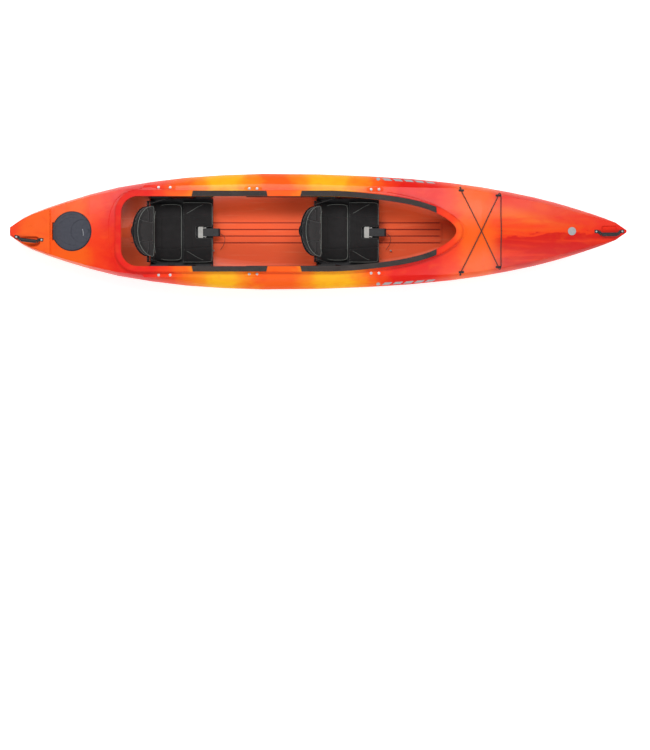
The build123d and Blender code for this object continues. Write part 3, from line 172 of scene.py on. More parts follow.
# ---------------------------------------------------------------- materials
def tint(red, green, blue):
    """A screen colour, 0 to 255, as the light that it stands for."""
    shares = (red / 255, green / 255, blue / 255)
    light = [c / 12.92 if c <= 0.04045 else ((c + 0.055) / 1.055) ** 2.4 for c in shares]
    return (*light, 1.0)


class Value:
    """A number that varies over a surface, which can be added, multiplied and compared."""

    def __init__(self, finish, socket):
        self.finish, self.socket = finish, socket

    def sum(self, operation, first, second=None):
        node = self.finish.add("ShaderNodeMath", {"operation": operation}, {0: first, 1: second})
        return Value(self.finish, node.outputs[0])

    def __add__(self, other):
        return self.sum("ADD", self, other)

    def __radd__(self, other):
        return self.sum("ADD", other, self)

    def __sub__(self, other):
        return self.sum("SUBTRACT", self, other)

    def __rsub__(self, other):
        return self.sum("SUBTRACT", other, self)

    def __mul__(self, other):
        return self.sum("MULTIPLY", self, other)

    def __rmul__(self, other):
        return self.sum("MULTIPLY", other, self)

    def __truediv__(self, other):
        return self.sum("DIVIDE", self, other)

    def __rtruediv__(self, other):
        return self.sum("DIVIDE", other, self)

    def __lt__(self, other):
        return self.sum("LESS_THAN", self, other)

    def __neg__(self):
        return self.sum("MULTIPLY", self, -1.0)

    def __abs__(self):
        return self.sum("ABSOLUTE", self)

    def wave(self):
        return self.sum("SINE", self)

    def sign(self):
        return self.sum("SIGN", self)

    def between(self, low, high):
        """0 below low, 1 above high, and smooth in between."""
        settings = {"interpolation_type": "SMOOTHSTEP"}
        node = self.finish.add("ShaderNodeMapRange", settings, {0: self, 1: low, 2: high})
        return Value(self.finish, node.outputs[0])

    def clamped(self):
        return Value(self.finish, self.finish.add("ShaderNodeClamp", {}, {0: self}).outputs[0])


class Finish:
    """A material: its constants stand on the shader's own sockets, and what varies is linked."""

    def __init__(self, name, **constants):
        self.material = bpy.data.materials.new(name)
        self.material.use_nodes = True
        self.tree = self.material.node_tree
        self.shader = self.tree.nodes["Principled BSDF"]
        for key, value in constants.items():
            self.shader.inputs[key.replace("_", " ")].default_value = value
        coordinates = self.add("ShaderNodeTexCoord")
        self.place = coordinates.outputs["Object"]
        self.facing = coordinates.outputs["Normal"]
        self.x, self.y, self.z = self.parts(self.place)

    def add(self, kind, settings=None, inputs=None):
        """Any node: its settings first, and then the values or links of its sockets."""
        node = self.tree.nodes.new(kind)
        for key, value in (settings or {}).items():
            if key == "stops":
                for index, (position, colour) in enumerate(value):
                    stops = node.color_ramp.elements
                    stop = stops[index] if index < len(stops) else stops.new(position)
                    stop.position, stop.color = position, colour
            elif key == "blend":
                node.color_ramp.interpolation = value
            else:
                setattr(node, key, value)
        for key, value in (inputs or {}).items():
            if value is not None:
                self.feed(node.inputs[key], value)
        return node

    def feed(self, socket, value):
        """A socket gets a link, or a plain value."""
        source = value.socket if isinstance(value, Value) else value
        if isinstance(source, bpy.types.NodeSocket):
            self.tree.links.new(source, socket)
        else:
            socket.default_value = source

    def parts(self, vector):
        node = self.add("ShaderNodeSeparateXYZ", {}, {0: vector})
        return [Value(self, socket) for socket in node.outputs]

    def stretched(self, scale, place=(0, 0, 0)):
        """The place on the piece, stretched and shifted for a pattern."""
        inputs = {"Vector": self.place, "Scale": scale, "Location": place}
        return self.add("ShaderNodeMapping", {}, inputs).outputs[0]

    def noise(self, scale, detail=3.0, stretch=(1, 1, 1), twist=0.0, seed=0.0):
        vector = self.stretched(stretch, (seed, seed, seed))
        inputs = {"Vector": vector, "Scale": scale, "Detail": detail, "Distortion": twist}
        return Value(self, self.add("ShaderNodeTexNoise", {}, inputs).outputs["Fac"])

    def cells(self, scale):
        node = self.add("ShaderNodeTexVoronoi", {}, {"Vector": self.stretched((1, 1, 1)), "Scale": scale})
        return Value(self, node.outputs["Distance"])

    def ramp(self, value, stops):
        settings = {"stops": stops, "blend": "EASE"}
        return self.add("ShaderNodeValToRGB", settings, {0: value}).outputs["Color"]

    def mix(self, share, first, second):
        settings = {"data_type": "RGBA", "blend_type": "MIX"}
        return self.add("ShaderNodeMix", settings, {0: share, 6: first, 7: second}).outputs[2]

    def finish(self, colour, roughness, height=None, strength=0.3, distance=0.001, coat=None):
        """The shader's varying sockets and its bump are linked, and the material is ready."""
        for key, value in (("Base Color", colour), ("Roughness", roughness), ("Coat Weight", coat)):
            if value is not None:
                self.feed(self.shader.inputs[key], value)
        if height is not None:
            inputs = {"Strength": strength, "Distance": distance, "Height": height}
            bump = self.add("ShaderNodeBump", {}, inputs)
            self.tree.links.new(bump.outputs[0], self.shader.inputs["Normal"])
        return self.material


RED = tint(226, 18, 6)
DEEP_RED = tint(204, 10, 2)
RED_ORANGE = tint(240, 54, 6)
ORANGE = tint(246, 92, 8)
AMBER = tint(248, 134, 8)
YELLOW = tint(250, 180, 12)
FLOOR_ORANGE = tint(250, 100, 48)
# a deep maroon for the painted shade on the hull's underside
SHADE_MAROON = tint(94, 18, 18)

# The colours along the boat: place in metres from the middle, and the colour there
BLEND_ALONG = [
    (-2.05, RED_ORANGE), (-1.93, ORANGE), (-1.80, ORANGE), (-1.60, ORANGE), (-1.47, RED_ORANGE), (-1.36, RED),
    (-1.16, RED), (-1.04, RED_ORANGE), (-0.93, ORANGE), (-0.82, AMBER), (-0.70, YELLOW), (-0.56, YELLOW),
    (-0.45, AMBER), (-0.34, ORANGE), (-0.20, ORANGE), (-0.08, AMBER), (0.02, YELLOW), (0.19, YELLOW),
    (0.29, AMBER), (0.36, ORANGE), (0.44, RED_ORANGE), (0.54, RED), (0.74, RED), (0.86, RED_ORANGE),
    (0.97, ORANGE), (1.14, ORANGE), (1.26, RED_ORANGE), (1.45, RED_ORANGE), (1.62, RED), (1.80, RED_ORANGE),
    (2.05, RED),
]
# Two ramps share the list, one aft and one fore, and meet at one of its places
MEETING = 15
BLEND_REACH = 2.1


def blend_stops(colours):
    """Ramp stops from places along the boat."""
    return [((x + BLEND_REACH) / (2 * BLEND_REACH), colour) for x, colour in colours]


def blended_plastic(name, inside_out):
    """Rotomoulded polyethylene, whose colours run into each other along the boat."""
    f = Finish(name, Specular_IOR_Level=0.28, Coat_Roughness=0.2)
    drift = (f.noise(3.2, 4, (1, 1.5, 1.5), 0.6) - 0.5) * 0.26
    drift = drift + (f.noise(14, 4, (1, 2.5, 2.5), 1.0, 3) - 0.5) * 0.06
    share = ((f.x + drift + BLEND_REACH) / (2 * BLEND_REACH)).clamped()
    aft = f.ramp(share, blend_stops(BLEND_ALONG[:MEETING + 1]))
    fore = f.ramp(share, blend_stops(BLEND_ALONG[MEETING:]))
    meeting = BLEND_ALONG[MEETING][0]
    colour = f.mix((f.x + drift).between(meeting - 0.001, meeting + 0.001), aft, fore)
    # long flow marks on the foredeck, more orange to port and deeper red to starboard
    streaks = f.noise(4.0, 4, (0.28, 3.0, 2.0), 0.7, 7).between(0.40, 0.66)
    foredeck = f.x.between(1.12, 1.26) * (1 - f.x.between(1.86, 2.02))
    torn = (f.noise(7, 5, (0.6, 1.6, 1), 1.2, 11) - 0.5) * 0.16
    torn = torn + (f.noise(26, 4, (0.7, 1.6, 1), 1.0, 41) - 0.5) * 0.05
    to_port = (f.y + torn - (f.x - 1.2) * 0.03).between(-0.035, -0.015)
    edge = (f.y + (f.x - 1.2) * 0.30).between(0.13, 0.22)
    ground_colour = f.mix(to_port, DEEP_RED, RED_ORANGE)
    streak_colour = f.mix(to_port, RED_ORANGE, tint(240, 112, 22))
    flow = f.mix(edge * 0.7, f.mix(streaks * 0.8, ground_colour, streak_colour), RED)
    colour = f.mix(foredeck * 0.9, colour, flow)
    # the powder's own speckle and soft clouds
    cloud = f.noise(9, 4, (1, 1.4, 1), 0.5, 17)
    colour = f.mix(cloud.between(0.45, 0.85) * 0.30, colour, ORANGE)
    colour = f.mix((1 - cloud.between(0.2, 0.5)) * 0.25, colour, RED)
    speckle = f.noise(420, 2, seed=5)
    colour = f.mix(speckle.between(0.56, 0.75) * 0.16, colour, DEEP_RED)
    if inside_out:
        # the inside is one even orange, and the bottom outside below the chine is darkened to maroon as
        # painted shade
        ny, nz = f.parts(f.facing)[1:]
        inwards = (-(ny * f.y.sign())).between(0.02, 0.12)
        floor = nz.between(0.12, 0.3)
        inside = (inwards + floor).clamped() * (f.z < 0.262)
        even = f.mix(f.noise(5, 3, (0.5, 2, 1), 0.3, 23) * 0.5, FLOOR_ORANGE, tint(232, 76, 40))
        scuffs = f.noise(26, 5, (0.15, 2.2, 1), 0.2, 29).between(0.56, 0.72)
        colour = f.mix(inside, colour, f.mix(scuffs * 0.3, even, tint(250, 132, 88)))
        # shadow lines between the raised floor strips and along their outer edges
        inner_gap = 1 - abs(abs(f.y) - 0.0220).between(0.003, 0.006)
        outer_edge = 1 - abs(abs(f.y) - 0.0675).between(0.003, 0.006)
        run = (f.x.between(-1.27, -1.25) * (1 - f.x.between(0.81, 0.83)) * (f.z < 0.013)).clamped()
        colour = f.mix((inner_gap + outer_edge).clamped() * run * inside * 0.75, colour, tint(150, 26, 10))
        # painted shade: below a wavy line low on the hull, the outside is darkened towards maroon for the
        # shade on the underside
        shade_line_height = f.z + (f.noise(5, 2, (0.4, 1, 1), 0, 31) - 0.5) * 0.03
        under = (1 - inside) * (1 - shade_line_height.between(0.035, 0.095))
        colour = f.mix(under * 0.75, colour, SHADE_MAROON)
    peel = f.noise(260, 3, seed=2) * 0.5 + f.noise(38, 3, seed=9) * 0.8
    scratch = f.noise(60, 6, (0.06, 3, 3), 0.1, 13).between(0.62, 0.70)
    rough = 0.30 + f.noise(12, 4, seed=4) * 0.16 + scratch * 0.12
    return f.finish(colour, rough, peel - scratch * 0.4, 0.22, 0.0012, coat=0.08)


def cloth_finish(name, dark, light, pitch=0.0016):
    """Plain woven cloth: two sets of yarns over and under each other, with lint and worn sheen."""
    f = Finish(name, Sheen_Weight=0.35, Sheen_Roughness=0.45, Specular_IOR_Level=0.25)
    turns = 2 * pi / pitch
    warp = ((f.x * 0.83 + f.z * 0.55) * turns).wave()
    weft = (f.y * turns).wave()
    weave = warp * weft
    yarn = f.noise(900, 2, (0.4, 1, 1)) - 0.5
    dust = f.noise(18, 5, (1, 1.3, 1), 0.6, 3)
    share = (0.38 + weave * 0.22 + yarn * 0.5 + (dust - 0.5) * 0.55).clamped()
    return f.finish(f.mix(share, dark, light), 0.78 + yarn * 0.2, weave * 0.6 + yarn, 0.5, 0.0006)


def webbing_finish(name, dark, light):
    """Flat webbing: fine ribs along it and a close cross weave."""
    f = Finish(name, Sheen_Weight=0.2, Sheen_Roughness=0.4)
    ribs = (f.y * (2 * pi / 0.0022)).wave()
    picks = ((f.x + f.z) * (2 * pi / 0.0015)).wave()
    fuzz = f.noise(1100, 2)
    share = (0.4 + ribs * 0.2 + picks * 0.2 + (fuzz - 0.5) * 0.4).clamped()
    return f.finish(f.mix(share, dark, light), 0.62 + fuzz * 0.2, ribs + picks * 0.6, 0.5, 0.0004)


def moulded(name, dark, light, rough=0.45, grain=420.0, depth=0.25):
    """Moulded plastic with a fine leather grain and handled, slightly polished patches."""
    f = Finish(name, Specular_IOR_Level=0.45)
    grains = f.cells(grain)
    patches = f.noise(22, 4, twist=0.5)
    worn = patches.between(0.5, 0.75)
    share = (grains * 0.5 + (f.noise(60, 4, seed=2) - 0.4)).clamped()
    return f.finish(f.mix(share, dark, light), rough + patches * 0.16 - worn * 0.08, grains, depth, 0.0005)


def rubber_ribs(name):
    """Grey-brown rubber with close lengthwise ribs and a powdery bloom."""
    f = Finish(name, Specular_IOR_Level=0.3)
    ribs = ((abs(f.y) + f.x * 0.06) * (2 * pi / 0.0062)).wave()
    bloom = f.noise(30, 5, (0.5, 1.4, 1), 0.5)
    share = (0.35 + ribs * 0.22 + (bloom - 0.5) * 0.8).clamped()
    return f.finish(f.mix(share, tint(42, 37, 36), tint(84, 76, 73)), 0.66 + bloom * 0.2, ribs, 0.6, 0.0012)


def steel(name, bright, dull, rough=0.28):
    """Steel with turning marks and a few dull spots."""
    f = Finish(name, Metallic=1.0)
    lines = f.noise(700, 3, (1, 1, 0.08))
    spots = f.noise(45, 4, seed=6).between(0.6, 0.75)
    return f.finish(f.mix(spots, bright, dull), rough + lines * 0.14 + spots * 0.2, lines, 0.2, 0.0002)


def cord_finish(name, base, fleck):
    """Braided cord: crossing strands, with a lighter fleck."""
    f = Finish(name, Sheen_Weight=0.15)
    first = ((f.x + f.y * 0.8) * (2 * pi / 0.0034)).wave()
    second = ((f.x - f.y * 0.8 + f.z) * (2 * pi / 0.0034)).wave()
    braid = first * second
    flecks = (first * 0.5 + second * 0.5).between(0.72, 0.9)
    shade = f.mix((0.5 + braid * 0.4).clamped(), base, tint(62, 44, 40))
    return f.finish(f.mix(flecks * 0.6, shade, fleck), 0.6 + f.noise(500) * 0.2, braid, 0.6, 0.0006)


def foam(name):
    """Closed-cell foam with small open pores."""
    f = Finish(name, Specular_IOR_Level=0.3)
    pores = f.cells(240)
    tone = f.noise(16, 4)
    share = (pores + tone * 0.6 - 0.2).clamped()
    return f.finish(f.mix(share, tint(40, 40, 42), tint(76, 76, 78)), 0.8 + tone * 0.1, pores, 0.6, 0.001)


hull_finish = blended_plastic("hull polyethylene", True)
deck_finish = blended_plastic("deck polyethylene", False)
seat_cloth = cloth_finish("black seat cloth", tint(9, 8, 9), tint(44, 42, 43))
piping_cloth = cloth_finish("grey piping", tint(92, 96, 92), tint(142, 147, 142), 0.0012)
strap_finish = webbing_finish("black webbing", tint(12, 12, 13), tint(52, 52, 55))
black = moulded("black moulded plastic", tint(16, 16, 18), tint(44, 44, 48))
rail_black = moulded("black nylon rail", tint(18, 18, 20), tint(50, 50, 52), 0.38, 300)
slate = moulded("slate hatch plastic", tint(50, 52, 63), tint(66, 68, 80), 0.42, 520, 0.2)
# painted highlight: a pale grey that stands for the light caught along the latch's curved lip
lip_highlight_grey = moulded("painted highlight lip", tint(150, 152, 158), tint(176, 178, 184), 0.35, 600)
pale_grey = moulded("light grey nylon", tint(150, 150, 146), tint(190, 190, 186), 0.4, 600)
gasket = moulded("gasket rubber", tint(12, 12, 12), tint(34, 34, 34), 0.7, 700)
pad_rubber = rubber_ribs("ribbed pad rubber")
stainless = steel("stainless steel", tint(198, 198, 200), tint(160, 158, 156), 0.4)
dark_steel = steel("blackened steel", tint(76, 72, 70), tint(54, 52, 50))
bungee_finish = cord_finish("elastic cord", tint(30, 20, 20), tint(150, 62, 50))
cord_black = cord_finish("black cord", tint(16, 16, 17), tint(96, 96, 96))
bulkhead_foam = foam("bulkhead foam")
disc_plastic = moulded("plain silver disc", tint(150, 150, 152), tint(186, 186, 188), 0.35, 700)


# Which finish a CAD node has: the first word that is part of its name
FINISHES = (
    ("hull", hull_finish), ("deck_eyes", black), ("deck", deck_finish), ("cockpit_rim", deck_finish),
    ("bulkhead", bulkhead_foam), ("hatch_gasket", gasket), ("hatch_hinge_pin", stainless), ("hatch", slate),
    ("rim_pad", pad_rubber), ("pad_rivets", dark_steel), ("screws", stainless), ("seat_rail", rail_black),
    ("foot_rail", rail_black), ("foot_pedal", black), ("ratchet_pin", stainless),
    ("ratchet_lever", pale_grey), ("bungee", bungee_finish), ("bow_badge", disc_plastic),
    ("webbing", strap_finish), ("straps", strap_finish), ("back_handle", strap_finish),
    ("pull_cord", cord_black), ("cushion", seat_cloth), ("leg_panel", seat_cloth),
    ("back_pad", seat_cloth), ("", black),
)


def dress(piece, material):
    """The piece has this material and no other."""
    piece.data.materials.clear()
    piece.data.materials.append(material)
    return piece


for name, node in nodes.items():
    dress(node, next(finish for word, finish in FINISHES if word in name))
    smooth(node, 32)

# ---------------------------------------------------------------- camera, light and floor
CAMERA_HEIGHT = 24.0
SENSOR = 36
SEEN_HEIGHT = 5.055

clear()
bpy.ops.object.camera_add(location=(0.045, -0.958, CAMERA_HEIGHT), rotation=(0, 0, 0))
camera = newest("camera")
camera.data.sensor_width = SENSOR
camera.data.sensor_fit = "AUTO"
camera.data.lens = SENSOR * CAMERA_HEIGHT / SEEN_HEIGHT
camera.data.clip_end = 200
bpy.context.scene.camera = camera

bpy.ops.mesh.primitive_plane_add(size=80, location=(0, 0, -0.0005))
ground = newest("ground")
f = Finish("pale floor", Specular_IOR_Level=0.1, Emission_Color=(1, 1, 1, 1), Emission_Strength=0.5)
dress(ground, f.finish(tint(250, 250, 250), 0.9 + f.noise(3) * 0.05))


def softbox(name, place, aim, size, power, depth=None):
    """A soft rectangular light that faces a point."""
    clear()
    bpy.ops.object.light_add(type="AREA", location=place)
    light = newest(name)
    light.data.shape = "RECTANGLE"
    light.data.size, light.data.size_y = size, depth or size
    light.data.energy = power
    light.rotation_euler = (Vector(aim) - Vector(place)).to_track_quat("-Z", "Y").to_euler()
    return light


softbox("key light", (-0.4, 2.3, 5.0), (0, 0, 0.1), 5.6, 190, 1.1)
softbox("fill light", (0.6, -2.9, 4.4), (0, 0, 0.1), 5.6, 120, 1.1)
softbox("bow light", (5.2, 1.2, 3.0), (0.6, 0, 0.2), 2.5, 45)
softbox("stern light", (-5.2, 0.6, 3.0), (-0.8, 0, 0.2), 2.5, 35)

world = bpy.context.scene.world or bpy.data.worlds.new("pale room")
bpy.context.scene.world = world
world.use_nodes = True
background = world.node_tree.nodes["Background"]
background.inputs[0].default_value = (1.0, 1.0, 1.0, 1.0)
# the room is bright to look at, and dim as a light
paths = world.node_tree.nodes.new("ShaderNodeLightPath")
bright = world.node_tree.nodes.new("ShaderNodeMapRange")
bright.inputs["To Min"].default_value = 0.22
bright.inputs["To Max"].default_value = 0.95
world.node_tree.links.new(paths.outputs["Is Camera Ray"], bright.inputs[0])
world.node_tree.links.new(bright.outputs[0], background.inputs[1])
bpy.context.scene.view_settings.view_transform = "Standard"

# ---------------------------------------------------------------- pull cords, the two free cords
# in millimetres from the seat's place, from the ratchet to the bead
CORD_ROUTE = [(456.9, -10, 74), (476, -16, 73), (488, -38, 63), (486, -66, 47), (474, -92, 31),
              (456, -113, 18.5)]

for seat, x0 in SEATS.items():
    route = [(x0 + x / 1000, y / 1000, z / 1000) for x, y, z in CORD_ROUTE]
    cord = round_line(f"{seat}_pull_cord", route, 0.0015, 12, 3)
    dress(cord, cord_black)
    end = Vector(route[-1])
    clear()
    bpy.ops.mesh.primitive_uv_sphere_add(segments=28, ring_count=16, radius=0.0068, location=end)
    bead = newest(f"{seat}_pull_bead")
    bpy.ops.object.mode_set(mode="EDIT")
    bpy.ops.mesh.select_all(action="SELECT")
    bpy.ops.transform.resize(value=(1.0, 1.0, 0.94), center_override=end)
    bpy.ops.object.mode_set(mode="OBJECT")
    for vertex in bead.data.vertices:
        band = (vertex.co - end).normalized()
        if abs(band.z) < 0.25:
            vertex.co = end + (vertex.co - end) * 0.93
    smooth(settle(bead), 60)
    dress(bead, pale_grey)
    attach(cord, SEAT_BODY[seat])
    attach(bead, SEAT_BODY[seat])
    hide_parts(f"{seat}_seat_pull_cord")


# ---------------------------------------------------------------- padded seat pieces
SWELL_FRAMES = 20
VOXEL = 0.005


def swell(piece, reach):
    """The pad fills out like stuffed cloth, and no point goes further than its reach."""
    began = [vertex.co.copy() for vertex in piece.data.vertices]
    pick(piece)
    cloth = piece.modifiers.new("cloth", "CLOTH")
    cloth.settings.use_pressure = True
    cloth.settings.uniform_pressure_force = 4.0
    cloth.settings.effector_weights.gravity = 0
    cloth.settings.quality = 5
    cloth.collision_settings.use_collision = False
    cloth.point_cache.frame_start = 1
    cloth.point_cache.frame_end = SWELL_FRAMES
    for step in range(1, SWELL_FRAMES + 1):
        bpy.context.scene.frame_set(step)
    bpy.ops.object.modifier_apply(modifier="cloth")
    bpy.context.scene.frame_set(1)
    for vertex, start in zip(piece.data.vertices, began):
        way = vertex.co - start
        if way.length > reach:
            vertex.co = start + way * (reach / way.length)
    return piece


def remeshed(node, name, share):
    """A closed skin over a soft node, a little smaller than it."""
    piece = merged_copy(node, name)
    low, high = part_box(node)
    middle = (low + high) / 2
    pick(piece)
    bpy.ops.object.mode_set(mode="EDIT")
    bpy.ops.mesh.select_all(action="SELECT")
    bpy.ops.transform.resize(value=share, center_override=middle)
    bpy.ops.object.mode_set(mode="OBJECT")
    modify(piece, "REMESH", mode="VOXEL", voxel_size=VOXEL, use_smooth_shade=True)
    return modify(piece, "SMOOTH", factor=0.5, iterations=5)


def sewn(piece, depth_at):
    """Seams: each point sinks by what its place says."""
    for vertex in piece.data.vertices:
        depth, way = depth_at(vertex.co)
        vertex.co -= way * depth
    return piece


def groove(distance, width, depth):
    """How deep a sewn channel is, some way from its line."""
    share = max(0.0, 1 - (distance / width) ** 2)
    return depth * share * share


UP = Vector((0, 0, 1))
BACK_UP = Vector((-sin(LEAN), 0, cos(LEAN)))
BACK_OUT = Vector((cos(LEAN), 0, sin(LEAN)))
BACK_FOOT = Vector((0.023, 0, 0.250))


def cushion_seams(co):
    """Two curved lengthwise seams between the centre panel and the bolsters, and one across the back."""
    line = 0.100 + 0.012 * sin((co.x - 0.007) / 0.195 * pi)
    deep = groove(abs(abs(co.y) - line), 0.008, 0.0055)
    if abs(co.y) < line:
        deep = max(deep, groove(abs(co.x - 0.060), 0.007, 0.0035))
    top = max(0.0, min(1.0, (co.z - 0.072) / 0.012))
    crown = 0.004 * (1 - (co.y / 0.2) ** 2) - 0.002
    return deep * top - crown * top, UP


def panel_seams(co):
    """Two lengthwise seams that run in towards the front, and one across between them."""
    line = 0.112 - 0.014 * (co.x - 0.203) / 0.205
    deep = groove(abs(abs(co.y) - line), 0.008, 0.0055)
    if abs(co.y) < line:
        deep = max(deep, groove(abs(co.x - 0.262), 0.007, 0.003))
    top = max(0.0, min(1.0, (co.z - 0.072) / 0.012))
    return deep * top, UP


def back_line(rise):
    """How far out the backrest's upright seams are, at a height along it."""
    return 0.062 + 0.02 * (rise / 0.2) ** 2


def back_seams(co):
    """Upright seams on the backrest, and one across it, outside them."""
    rise = (co - BACK_FOOT).dot(BACK_UP)
    out = (co - BACK_FOOT).dot(BACK_OUT)
    deep = groove(abs(abs(co.y) - back_line(rise)), 0.007, 0.006)
    if abs(co.y) > 0.07:
        deep = max(deep, groove(abs(rise - 0.070), 0.006, 0.003))
    front = max(0.0, min(1.0, (out + 0.016) / 0.010))
    return deep * front, BACK_OUT


def upholstered(kind, reach, share, seams):
    """One soft piece of the front seat, filled, subdivided and sewn, and the same again on the rear seat."""
    front = remeshed(f"front_seat_{kind}", f"front_{kind}_cloth", share)
    swell(front, reach)
    modify(front, "SUBSURF", levels=1, render_levels=1)
    sewn(front, seams)
    smooth(front, 60)
    dress(front, seat_cloth)
    rear = moved_copy(front, f"rear_{kind}_cloth", (SEATS["rear"], 0, 0))
    return {"front": front, "rear": rear}


def place_pair(pair, bodies, kind):
    """Both seats' copies ride on their bodies, and stand for their CAD solids."""
    for seat, piece in pair.items():
        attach(piece, bodies[seat])
        if kind:
            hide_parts(f"{seat}_seat_{kind}")


BACKREST = {"front": "front_backrest", "rear": "rear_backrest"}
LEG_PANEL = {"front": "front_leg_panel", "rear": "rear_leg_panel"}
cushions = upholstered("cushion", 0.006, (0.985, 0.985, 0.86), cushion_seams)
panels = upholstered("leg_panel", 0.006, (0.985, 0.985, 0.86), panel_seams)
backs = upholstered("back_pad", 0.007, (0.95, 0.975, 0.95), back_seams)
place_pair(cushions, SEAT_BODY, "cushion")
place_pair(panels, LEG_PANEL, "leg_panel")
place_pair(backs, BACKREST, "back_pad")


def both(name, points, radius, material, bodies, closed=False):
    """A tube on the front seat and its copy on the rear seat."""
    front = dress(tube(f"front_{name}", points, radius, closed), material)
    rear = moved_copy(front, f"rear_{name}", (SEATS["rear"], 0, 0))
    place_pair({"front": front, "rear": rear}, bodies, None)


def on_pad(pad, places):
    """Places on the front seat's finished cloth: each is lifted to it where the cloth is above."""
    laid = []
    for x, y, z in places:
        hit, place, normal, face = pad["front"].ray_cast(Vector((x, y, 0.6)), Vector((0, 0, -1)))
        laid.append((x, y, max(z, place.z - 0.0002) if hit else z))
    return laid


PIPING_RADIUS = 0.0017
# One side of the cushion's edge, from its front to its back
CUSHION_EDGE = [(0.197, 0.120, 0.0955), (0.197, 0.172, 0.0945), (0.180, 0.186, 0.0935),
                (0.110, 0.188, 0.0935), (0.060, 0.182, 0.0935), (0.024, 0.152, 0.0945), (0.013, 0.090, 0.095)]
mirrored = [(x, -y, z) for x, y, z in reversed(CUSHION_EDGE)]
around = CUSHION_EDGE + [(0.012, 0, 0.0955)] + mirrored + [(0.197, 0, 0.0965)]
both("cushion_piping", on_pad(cushions, around), PIPING_RADIUS, piping_cloth, SEAT_BODY, True)


def back_point(y, rise, out):
    """A place on the backrest: across, up along it and out from it."""
    return BACK_FOOT + BACK_UP * rise + BACK_OUT * out + Vector((0, y, 0))


# One side of the backrest's edge, from its foot to its top: across and up
BACK_EDGE = [(0.160, 0.008), (0.166, 0.020), (0.166, 0.040), (0.160, 0.072), (0.140, 0.116), (0.108, 0.154),
             (0.062, 0.182)]
BACK_SEAM = (0.012, 0.05, 0.09, 0.13, 0.166)
WING = [(0.214, 0.118), (0.230, 0.126), (0.246, 0.134), (0.262, 0.143), (0.278, 0.153), (0.294, 0.163),
        (0.310, 0.172), (0.326, 0.180), (0.342, 0.186)]
PANEL_EDGE = [(0.207, 0.199, 0.092), (0.26, 0.200, 0.094), (0.33, 0.200, 0.094), (0.392, 0.198, 0.094),
              (0.401, 0.188, 0.094), (0.403, 0.12, 0.094), (0.402, 0.052, 0.094)]
PORT_AND_STARBOARD = ((1, "port"), (-1, "starboard"))

to_starboard = [(-y, rise) for y, rise in BACK_EDGE]
around = to_starboard + [(0, 0.192)] + BACK_EDGE[::-1] + [(0, 0.006)]
both("back_piping", [back_point(y, rise, 0.0012) for y, rise in around], PIPING_RADIUS, piping_cloth,
     BACKREST, True)
for side, word in PORT_AND_STARBOARD:
    seam = [back_point(side * back_line(rise), rise, -0.003) for rise in BACK_SEAM]
    both(f"back_seam_{word}", seam, 0.0009, piping_cloth, BACKREST)
for side, word in PORT_AND_STARBOARD:
    wing = on_pad(panels, [(x, side * y, 0.09) for x, y in WING])
    both(f"panel_wing_{word}", wing, 0.0013, piping_cloth, LEG_PANEL)
    edge = on_pad(panels, [(x, side * y, z) for x, y, z in PANEL_EDGE])
    both(f"panel_piping_{word}", edge, 0.0016, piping_cloth, LEG_PANEL)


# ---------------------------------------------------------------- stripes and discs on the boat's sides
STRIPE_HEIGHT = 0.2215


def on_flank(x, z, side):
    """The place on the deck's flank at a height, and a hair out from it."""
    hit, place, normal, face = nodes["deck"].ray_cast(Vector((x, side * 0.8, z)), Vector((0, -side, 0)))
    return place + normal * 0.0004


def flank_plate(name, outline, side):
    """A thin plate laid on the flank: each point of a grid goes where its share of the outline says."""
    clear()
    bpy.ops.mesh.primitive_grid_add(x_subdivisions=10, y_subdivisions=5, size=1, location=(0, 0, 0))
    plate = newest(name)
    for vertex in plate.data.vertices:
        x, z = outline(vertex.co.x, vertex.co.y)
        vertex.co = on_flank(x, z, side)
    if plate.data.polygons[0].normal.y * side < 0:
        plate.data.flip_normals()
    modify(plate, "SOLIDIFY", thickness=0.0006, offset=1)
    dress(smooth(plate), disc_plastic)
    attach(plate, "boat")


def slash(start):
    """A slanted stripe."""
    return lambda u, v: (start + 0.034 + u * 0.050 + v * 0.020, STRIPE_HEIGHT + v * 0.016)


def disc(x0, radius):
    """A round plate, from the square that a grid's shares cover."""
    def outline(u, v):
        across, up = 2 * u, 2 * v
        x = x0 + radius * across * (1 - up * up / 2) ** 0.5
        return x, STRIPE_HEIGHT + 0.8 * radius * up * (1 - across * across / 2) ** 0.5
    return outline


for side, word in PORT_AND_STARBOARD:
    flank_plate(f"side_disc_{word}", disc(0.40, 0.013), side)
    for index in range(5):
        flank_plate(f"side_stripe_{index + 1}_{word}", slash(0.425 + 0.072 * index), side)

# ---------------------------------------------------------------- washers under the deck screws
# How far out each pair of screws is, and where its two screws are along the boat
SCREW_PAIRS = ((0.292, (-1.064, -0.987)), (0.284, (-0.460, -0.408)), (0.279, (0.353, 0.405)))

for x, y in [(x, side * out) for out, xs in SCREW_PAIRS for x in xs for side in (1, -1)]:
    clear()
    top = on_top("screws", x, y)
    place = (x, y, top - 0.0022)
    bpy.ops.mesh.primitive_cylinder_add(vertices=40, radius=0.0092, depth=0.0016, location=place)
    washer = newest(f"washer_{'port' if y > 0 else 'starboard'}_{round(1000 * (x + 2))}")
    modify(settle(washer), "BEVEL", width=0.0005, segments=2)
    dress(smooth(washer), stainless)
    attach(washer, "boat")


# ---------------------------------------------------------------- webbing, cut across into short lengths
def sliced(piece, start, end, count):
    """Cuts across a strap, into short lengths that could bend smoothly."""
    start, end = Vector(start), Vector(end)
    pick(piece)
    bpy.ops.object.mode_set(mode="EDIT")
    for step in range(1, count):
        bpy.ops.mesh.select_all(action="SELECT")
        bpy.ops.mesh.bisect(plane_co=start.lerp(end, step / count), plane_no=end - start)
    bpy.ops.object.mode_set(mode="OBJECT")
    return piece


def centre_of(part):
    """The mean place of a piece's points along and across the boat, rounded so that ties stay ties."""
    points = part.data.vertices
    return tuple(round(sum(point.co[axis] for point in points) / len(points), 3) for axis in (0, 1))


